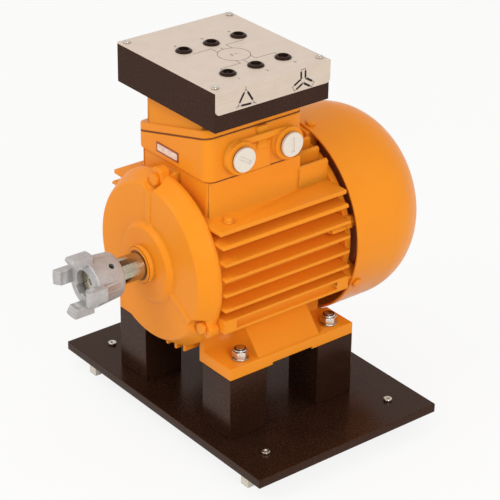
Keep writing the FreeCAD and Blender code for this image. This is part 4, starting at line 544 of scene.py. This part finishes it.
print("finishes so far:", len(FINISHES))

# %% [markdown]
# ### Silver panel
# The panel is a satin sheet under a clear anodised skin, so it looks like pale warm paint rather
# than like a mirror. Its brushing runs along the long side and shows only as faint streaks.

# %% Silver panel
tree, shader, place = finish("panel_silver", Specular_IOR_Level=0.4)
sheet = use(tree, tool_lines, {"Vector": place, "Stretch": (1500.0, 24.0, 1500.0),
                               "Dark": seen(204, 187, 172), "Bright": seen(215, 199, 184),
                               "Dullness": 0.30})
skin_of(tree, shader, sheet, strength=0.12, depth=0.03 * MM)
print("finishes in all:", len(FINISHES))

# %% [markdown]
# ## Painting the frame
# The record names a material slot for every node, and each node's mesh gets the finish of its
# slot. Only the hub's set screw is darker than the other screws, because it is blackened.

# %% Finishes on the nodes
slot_of = {row["node"]: row["material_slot"] for row in frame["record"]["subparts"]}
body_of = {name: body for body, names in frame["record"]["behaviour"]["bodies"].items() for name in names}
for name, node in frame["nodes"].items():
    node.data.materials.clear()
    node.data.materials.append(FINISHES[slot_of[name]])
frame["nodes"]["hub_set_screw"].data.materials[0] = FINISHES["dark_steel"]
print("painted:", len(frame["nodes"]))

# %% [markdown]
# ## Softer edges
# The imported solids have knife-sharp edges, while castings, boards and pressed sheet never do. The
# list gives the nodes whose edges are large enough to be seen, and how wide each is rounded, in
# millimetres: most on the cast shields and the terminal box, least on thin sheet and washers.

# %% How wide each edge is rounded
EDGE_ROUNDINGS = {
    "stator_housing": 0.6, "drive_end_shield": 0.9, "rear_end_shield": 0.6, "terminal_box": 0.9,
    "terminal_lid": 0.9, "fan_cover": 0.4, "coupling_hub": 0.5, "base_plate": 0.5,
    "column_front_left": 0.6, "column_front_right": 0.6, "column_rear_left": 0.6,
    "column_rear_right": 0.6, "runner_left": 0.5, "runner_right": 0.5, "socket_box": 0.6,
    "front_panel": 0.3, "blanking_plug_front": 0.6, "blanking_plug_rear": 0.6,
    "foot_nuts": 0.5, "foot_washers": 0.25, "foot_bolts": 0.3, "drive_shield_screws": 0.6,
    "rear_shield_screws": 0.5, "fan_cover_screws": 0.9, "flange_screws": 0.4, "panel_screws": 0.4,
    "runner_screws": 0.6, "socket_bodies": 0.3, "shaft": 0.2, "fan": 0.3,
}
print("nodes to round:", len(EDGE_ROUNDINGS))

# %% [markdown]
# Every new piece is finished the same way: its mesh becomes an object at the origin, gets a
# finish and rides on a body of the frame. Smooth shading would make flat faces look swollen
# beside a narrow bevel, so large faces are given the most say in the normals.

# %% A finished piece
LARGE_FACES_FIRST = 100


def finish_piece(name, mesh, slot, body, stands_for=None):
    """A mesh made an object that rides on a body, with one of the finishes."""
    data = bpy.data.meshes.new(name)
    mesh.to_mesh(data)
    mesh.free()
    data.materials.append(FINISHES[slot])
    piece = bpy.data.objects.new(name, data)
    bpy.context.scene.collection.objects.link(piece)
    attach(piece, body)
    if stands_for:
        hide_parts(stands_for)
    return piece


def shade_evenly(piece):
    """Smooth shading that keeps flat faces flat, because large faces weigh most."""
    for face in piece.data.polygons:
        face.use_smooth = True
    even = piece.modifiers.new("even shading", "WEIGHTED_NORMAL")
    even.weight = LARGE_FACES_FIRST
    even.keep_sharp = True


print("pieces can be finished")

# %% [markdown]
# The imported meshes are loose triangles, so each node on the list is copied, its triangles are
# joined and its flat faces made whole again. Only then do the true edges show, and a narrow bevel
# rounds those that stand out. The corners that close in stay sharp in the mesh, because two
# bevels would meet there on a low rib; their paint is rounded by the material. The copy stands in
# for its node, in the same place and on the same body.

# %% Rounded copies
JOIN_DISTANCE = 0.01 * MM
FLAT_ANGLE = math.radians(0.7)
EDGE_ANGLE = math.radians(32)
ROUNDING_SEGMENTS = 2


def rounded_copy(name, width):
    """A copy of a node with joined faces and narrow bevels on its true edges."""
    mesh = bmesh.new()
    mesh.from_mesh(frame["nodes"][name].data)
    bmesh.ops.remove_doubles(mesh, verts=mesh.verts, dist=JOIN_DISTANCE)
    bmesh.ops.dissolve_limit(mesh, angle_limit=FLAT_ANGLE, verts=mesh.verts, edges=mesh.edges)
    edges = [edge for edge in mesh.edges if edge.is_convex and edge.calc_face_angle() > EDGE_ANGLE]
    bmesh.ops.bevel(mesh, geom=edges, offset=width * MM, affect="EDGES", segments=ROUNDING_SEGMENTS,
                    profile=0.5, material=-1, clamp_overlap=False)
    bmesh.ops.recalc_face_normals(mesh, faces=mesh.faces)
    shade_evenly(finish_piece("soft_" + name, mesh, slot_of[name], body_of[name], name))


for name, width in EDGE_ROUNDINGS.items():
    rounded_copy(name, width)
print("rounded:", len(EDGE_ROUNDINGS))

# %% [markdown]
# ## The printed diagram
# The silver panel is screen printed: six leads run from the sockets to a circle that stands for
# the motor, and the flap shows the triangle and star connections. A texture could carry this,
# but a printed line as its own thin strip stays sharp in every view. Each strip is 0.06 mm thick,
# about like thick ink, and lies on the panel.

# %% Printed strips and rings
UP = Vector((0.0, 0.0, 1.0))
INK_THICKNESS = 0.06 * MM
RING_STEPS = 72
SQUARE = ((-0.5, -0.5), (0.5, -0.5), (0.5, 0.5), (-0.5, 0.5))


def ink_bar(mesh, here, there, width, facing):
    """A printed line between two places on a surface that faces a direction."""
    along = (there - here).normalized()
    turn = Matrix((along, facing.cross(along), facing)).transposed().to_4x4()
    size = Matrix.Diagonal(((there - here).length + width, width, INK_THICKNESS, 1.0))
    bmesh.ops.create_cube(mesh, size=1.0, matrix=Matrix.Translation((here + there) / 2) @ turn @ size)


def ink_path(mesh, places, width, facing):
    """Printed lines through a row of places."""
    for here, there in zip(places, places[1:]):
        ink_bar(mesh, here, there, width, facing)


def ring_around(mesh, centre, radius, width, height, steps=RING_STEPS):
    """A flat ring around an upright line, spun from its square section."""
    corners = [mesh.verts.new(centre + Vector((radius + across * width, 0.0, up * height)))
               for across, up in SQUARE]
    sides = [mesh.edges.new((corners[number - 1], corners[number])) for number in range(len(corners))]
    bmesh.ops.spin(mesh, geom=corners + sides, cent=centre, axis=UP, angle=math.tau, steps=steps,
                   use_merge=True)
    bmesh.ops.recalc_face_normals(mesh, faces=mesh.faces)


print("ink", INK_THICKNESS / MM, "mm thick")

# %% [markdown]
# The leads go square from each socket to the circle. Places on the panel are counted across from
# the shaft's line and back from the front foot bolts, in millimetres, as a draughtsman would
# dimension them.

# %% Leads and circle
FRONT_BOLTS = -43.65 * MM
THIN_LINE = 0.45 * MM
CIRCLE_PLACE = (12.8, 35.4)
CIRCLE_RADIUS = 14.0 * MM
LEADS = (
    ((43.0, 7.0), (31.3, 7.0), (31.3, 28.0), (24.8, 28.0)),
    ((41.6, 34.0), (26.9, 34.0)),
    ((43.0, 64.5), (30.1, 64.5), (30.1, 45.0), (23.2, 45.0)),
    ((-8.0, 8.0), (-8.0, 27.0), (1.6, 27.0)),
    ((-5.0, 35.0), (-1.2, 35.0)),
    ((-8.0, 62.0), (-8.0, 43.0), (1.0, 43.0)),
)
panel_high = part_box("front_panel")[1]


def on_panel(place):
    """A place on the panel's top from its millimetres across and back."""
    across, along = place
    return Vector((across * MM, FRONT_BOLTS + along * MM, panel_high.z + INK_THICKNESS / 2))


mesh = bmesh.new()
for lead in LEADS:
    ink_path(mesh, [on_panel(place) for place in lead], THIN_LINE, UP)
ring_around(mesh, on_panel(CIRCLE_PLACE), CIRCLE_RADIUS, THIN_LINE, INK_THICKNESS)
finish_piece("printed_leads", mesh, "print_ink", "motor")
print("leads:", len(LEADS))

# %% [markdown]
# The sockets are numbered from 1 to 6, and the circle is marked as a three phase machine. Text
# starts as a font curve. It is made a mesh first and then laid on the panel, so that the piece
# itself stays unturned at the origin.

# %% Words laid down as ink
BACKWARD = Vector((0.0, 1.0, 0.0))
AWAY = Vector((-1.0, 0.0, 0.0))
LETTER_STEPS = 3


def printed_text(mesh, words, height, place):
    """Words as thin ink, centred on a place on the panel, that read from front to back."""
    curve = bpy.data.curves.new(words, "FONT")
    curve.body = words
    curve.size = height
    curve.align_x = "CENTER"
    curve.align_y = "CENTER"
    curve.extrude = INK_THICKNESS / 2
    curve.resolution_u = LETTER_STEPS
    model = bpy.data.objects.new(words, curve)
    letters = bpy.data.meshes.new_from_object(model)
    turn = Matrix((BACKWARD, AWAY, UP)).transposed().to_4x4()
    letters.transform(Matrix.Translation(place) @ turn)
    mesh.from_mesh(letters)
    bpy.data.meshes.remove(letters)
    bpy.data.objects.remove(model)
    bpy.data.curves.remove(curve)


print("letters can be printed")

# %% [markdown]
# Each number stands beside its socket, and the sign in the circle is a little larger.

# %% Numbers
NUMBER_HEIGHT = 4.6 * MM
SIGN_ENLARGED = 1.2
NUMBER_PLACES = ((56.5, 6.7), (56.5, 36.0), (56.5, 65.7), (-30.5, 6.2), (-30.5, 34.7), (-30.5, 63.5))
mesh = bmesh.new()
for number, place in enumerate(NUMBER_PLACES, start=1):
    printed_text(mesh, str(number), NUMBER_HEIGHT, on_panel(place))
printed_text(mesh, "3 ~", NUMBER_HEIGHT * SIGN_ENLARGED, on_panel(CIRCLE_PLACE))
finish_piece("printed_numbers", mesh, "print_ink", "motor")
print("numbers:", len(NUMBER_PLACES))

# %% [markdown]
# On the flap the coils are heavy bars on thin lines. In the triangle one coil lies on each side,
# and the supply leads end at its corners. In the star each coil is drawn with the lead back
# beside it, so an arm has two lines. Places on the flap are counted back from the front foot
# bolts and up from the shaft's axis.

# %% Coils on the flap
FLAP_FACING = Vector((1.0, 0.0, 0.0))
SHAFT_HEIGHT = 175.0
BOLD_LINE = 1.9 * MM
COIL_SHARES = (0.27, 0.73)
thin = bmesh.new()
bold = bmesh.new()


def on_flap(place):
    """A place on the flap from its millimetres back and above the shaft's axis."""
    along, rise = place
    return Vector((panel_high.x + INK_THICKNESS / 2, FRONT_BOLTS + along * MM, (SHAFT_HEIGHT + rise) * MM))


def coil(here, there):
    """A thin line with a heavy bar in its middle."""
    first, last = (here.lerp(there, share) for share in COIL_SHARES)
    ink_bar(thin, here, there, THIN_LINE, FLAP_FACING)
    ink_bar(bold, first, last, BOLD_LINE, FLAP_FACING)


print("coils are", BOLD_LINE / MM, "mm wide")

# %% [markdown]
# Both symbols are drawn into the same two meshes, one for the thin ink and one for the heavy.

# %% Triangle and star
STUB = 2.0
TRIANGLE = ((3.3, 172.0), (-4.8, 158.6), (12.4, 157.8))
STAR_CENTRE = (63.6, 164.6)
STAR_ENDS = ((63.4, 174.2), (53.2, 159.0), (74.0, 158.2))
ARM_GAP = 2.3 * MM
corners = [on_flap(place) for place in TRIANGLE]
middle = sum(corners, Vector()) / len(corners)
for number, corner in enumerate(corners):
    coil(corners[number - 1], corner)
    outward = (corner - middle).normalized()
    ink_bar(thin, corner, corner + outward * STUB * MM, THIN_LINE, FLAP_FACING)
centre = on_flap(STAR_CENTRE)
for place in STAR_ENDS:
    arm_end = on_flap(place)
    aside = (arm_end - centre).normalized().cross(FLAP_FACING) * ARM_GAP
    coil(centre + aside, arm_end + aside)
    coil(centre - aside, arm_end - aside)
    ink_bar(thin, arm_end + aside, arm_end - aside, THIN_LINE, FLAP_FACING)
finish_piece("printed_connections", thin, "print_ink", "motor")
finish_piece("printed_coils", bold, "bold_ink", "motor")
print("triangle and star printed")

# %% [markdown]
# ## The small plate on the terminal box
# The plate is red-brown with a pale field that is left blank here. The field is a thin block with
# rounded corners: a cube is stretched to size, and its four edges across the plate are bevelled.

# %% Pale field of the plate
FIELD_MARGIN = 1.5 * MM
FIELD_THICKNESS = 0.1 * MM
FIELD_CORNER = 1.2 * MM
FIELD_SEGMENTS = 4
plate_low, plate_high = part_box("label_plate")
size = plate_high - plate_low
mesh = bmesh.new()
place = Vector(((plate_low.x + plate_high.x) / 2, plate_low.y - FIELD_THICKNESS / 2,
                (plate_low.z + plate_high.z) / 2))
stretch = Matrix.Diagonal((size.x - FIELD_MARGIN * 2, FIELD_THICKNESS, size.z - FIELD_MARGIN * 2, 1.0))
bmesh.ops.create_cube(mesh, size=1.0, matrix=Matrix.Translation(place) @ stretch)
edges = [edge for edge in mesh.edges
         if abs(edge.verts[0].co.y - edge.verts[1].co.y) > FIELD_THICKNESS / 2]
bmesh.ops.bevel(mesh, geom=edges, offset=FIELD_CORNER, affect="EDGES", segments=FIELD_SEGMENTS,
                profile=0.5, material=-1)
finish_piece("label_field", mesh, "label_face", "motor")
print("plate", round(size.x / MM, 1), "by", round(size.z / MM, 1), "mm")

# %% [markdown]
# ## Locking rings
# Each foot nut is of the locking kind: its collar grips a ring of dark nylon, which shows around
# the bolt's end. One ring is spun from a square section for each nut, in line with its washer,
# and a Bevel modifier rounds the edges.

# %% Nylon rings in the foot nuts
NYLON_RADIUS = 4.75 * MM
NYLON_WIDTH = 1.15 * MM
NYLON_HEIGHT = 0.7 * MM
NYLON_STEPS = 40
NYLON_ROUNDING = 0.25 * MM
WASHER_RADIUS = 8.0 * MM
nut_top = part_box("foot_nuts")[1].z
washer_low, washer_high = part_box("foot_washers")
mesh = bmesh.new()
for x in (washer_low.x + WASHER_RADIUS, washer_high.x - WASHER_RADIUS):
    for y in (washer_low.y + WASHER_RADIUS, washer_high.y - WASHER_RADIUS):
        ring_around(mesh, Vector((x, y, nut_top)), NYLON_RADIUS, NYLON_WIDTH, NYLON_HEIGHT, NYLON_STEPS)
piece = finish_piece("nylon_rings", mesh, "nylon_ring", "motor")
soft = piece.modifiers.new("soft edges", "BEVEL")
soft.width = NYLON_ROUNDING
soft.segments = ROUNDING_SEGMENTS
shade_evenly(piece)
print("nylon rings at", round(nut_top, 4), "m")

# %% [markdown]
# ## Studio
# The picture was taken from the drive end, above and to the right, with a long lens, so the
# camera stands well back. The lens is given as the photograph's own scale: the number of pixels
# that one unit of sideways spread covers at one unit of distance.

# %% Camera
PHOTO_SIDE = 500
PIXELS_PER_UNIT = 1982.9
AZIMUTH = math.radians(51.419)
ELEVATION = math.radians(27.785)
ROLL = math.radians(0.738)
AIM = Vector((0.06946, -0.03365, 0.19778))
DISTANCE = 1.67332
SENSOR_WIDTH = 36.0
NEAREST_SEEN = 0.05
FARTHEST_SEEN = 40.0

back = Vector((math.sin(AZIMUTH) * math.cos(ELEVATION), -math.cos(AZIMUTH) * math.cos(ELEVATION),
               math.sin(ELEVATION)))
level = Vector((math.cos(AZIMUTH), math.sin(AZIMUTH), 0.0))
upright = back.cross(level)
right = level * math.cos(ROLL) + upright * math.sin(ROLL)
up = upright * math.cos(ROLL) - level * math.sin(ROLL)
camera_data = bpy.data.cameras.new("camera")
camera_data.sensor_width = SENSOR_WIDTH
camera_data.lens = SENSOR_WIDTH * PIXELS_PER_UNIT / PHOTO_SIDE
camera_data.clip_start = NEAREST_SEEN
camera_data.clip_end = FARTHEST_SEEN
camera = bpy.data.objects.new("camera", camera_data)
turn = Matrix((right, up, back)).transposed().to_4x4()
camera.matrix_world = Matrix.Translation(AIM + back * DISTANCE) @ turn
bpy.context.scene.collection.objects.link(camera)
bpy.context.scene.camera = camera
print("camera at", tuple(round(value, 3) for value in camera.location))

# %% [markdown]
# The floor is one large sheet of pale paper, which isn't part of the motor.

# %% Floor
FLOOR_HALF = 6.0
mesh = bmesh.new()
bmesh.ops.create_grid(mesh, x_segments=1, y_segments=1, size=FLOOR_HALF)
floor_data = bpy.data.meshes.new("floor")
mesh.to_mesh(floor_data)
mesh.free()
floor = bpy.data.objects.new("floor", floor_data)
bpy.context.scene.collection.objects.link(floor)
print("floor", FLOOR_HALF * 2, "m wide")

# %% [markdown]
# Part of the floor's brightness is given to the camera alone, so that it looks white in the
# picture while it still takes the motor's shadow. Mirrors and glass see the same floor.

# %% Paper that looks white
WHITE = (1.0, 1.0, 1.0, 1.0)
WHITE_STRENGTH = 1.0
PAPER_ROUGHNESS = 0.9
PAPER_GLOSS = 0.1
PAPER_CLOUDS = 6.0
DARK_PAPER = seen(228, 228, 226)
PALE_PAPER = seen(233, 233, 231)
PAPER_GLOW = 0.85
paper = bpy.data.materials.new("white paper floor")
paper.use_nodes = True
tree = paper.node_tree
shader = tree.nodes["Principled BSDF"]
shader.inputs["Roughness"].default_value = PAPER_ROUGHNESS
shader.inputs["Specular IOR Level"].default_value = PAPER_GLOSS
fibres = noise(tree, put(tree, "TexCoord").outputs["Object"], PAPER_CLOUDS, FEW_OCTAVES)
tree.links.new(between(tree, fibres, DARK_PAPER, PALE_PAPER), shader.inputs["Base Color"])
rays = put(tree, "LightPath")
looked_at = sums(tree, "MAXIMUM", rays.outputs["Is Camera Ray"], rays.outputs["Is Glossy Ray"])
looked_at = sums(tree, "MAXIMUM", looked_at, rays.outputs["Is Transmission Ray"])
glow = put(tree, "Emission", {"Color": WHITE, "Strength": WHITE_STRENGTH})
blend = put(tree, "MixShader", {0: sums(tree, "MULTIPLY", looked_at, PAPER_GLOW),
                                1: shader.outputs[0], 2: glow.outputs[0]})
tree.links.new(blend.outputs[0], tree.nodes["Material Output"].inputs["Surface"])
floor_data.materials.append(paper)
print("floor paper ready")

# %% [markdown]
# Most of the light comes from a pale room, which is the world. The camera sees it as plain white.

# %% Room
ROOM_TINT = (1.0, 0.98, 0.96, 1.0)
ROOM_STRENGTH = 0.78
world = bpy.data.worlds.new("pale room")
world.use_nodes = True
bpy.context.scene.world = world
tree = world.node_tree
room = tree.nodes["Background"]
room.inputs["Color"].default_value = ROOM_TINT
room.inputs["Strength"].default_value = ROOM_STRENGTH
backdrop = put(tree, "Background", {"Color": WHITE, "Strength": WHITE_STRENGTH})
rays = put(tree, "LightPath")
looked_at = sums(tree, "MAXIMUM", rays.outputs["Is Camera Ray"], rays.outputs["Is Transmission Ray"])
blend = put(tree, "MixShader", {0: looked_at, 1: room.outputs[0], 2: backdrop.outputs[0]})
tree.links.new(blend.outputs[0], tree.nodes["World Output"].inputs["Surface"])
print("room lit at", ROOM_STRENGTH)

# %% [markdown]
# Two large soft boxes shape the motor: one high on the left, in front of the shaft, and a smaller
# one on the right. Together with the room they light a surface so that its colour renders about
# as it is written.

# %% Soft boxes
MOTOR_MIDDLE = Vector((0.0, 0.0, 0.18))


def soft_box(name, place, size, power, tint):
    """A square area lamp that faces the motor's middle."""
    lamp = bpy.data.lights.new(name, "AREA")
    lamp.shape = "SQUARE"
    lamp.size = size
    lamp.energy = power
    lamp.color = tint
    box = bpy.data.objects.new(name, lamp)
    box.location = place
    box.rotation_euler = (MOTOR_MIDDLE - Vector(place)).to_track_quat("-Z", "Y").to_euler()
    bpy.context.scene.collection.objects.link(box)


soft_box("left soft box", place=(-0.3, -1.5, 1.75), size=1.0, power=11.0, tint=(1.0, 0.99, 0.97))
soft_box("right soft box", place=(1.75, -0.55, 1.2), size=0.8, power=13.0, tint=(1.0, 0.98, 0.95))
bpy.context.scene.view_settings.view_transform = "Standard"
print("soft boxes:", len(bpy.data.lights))
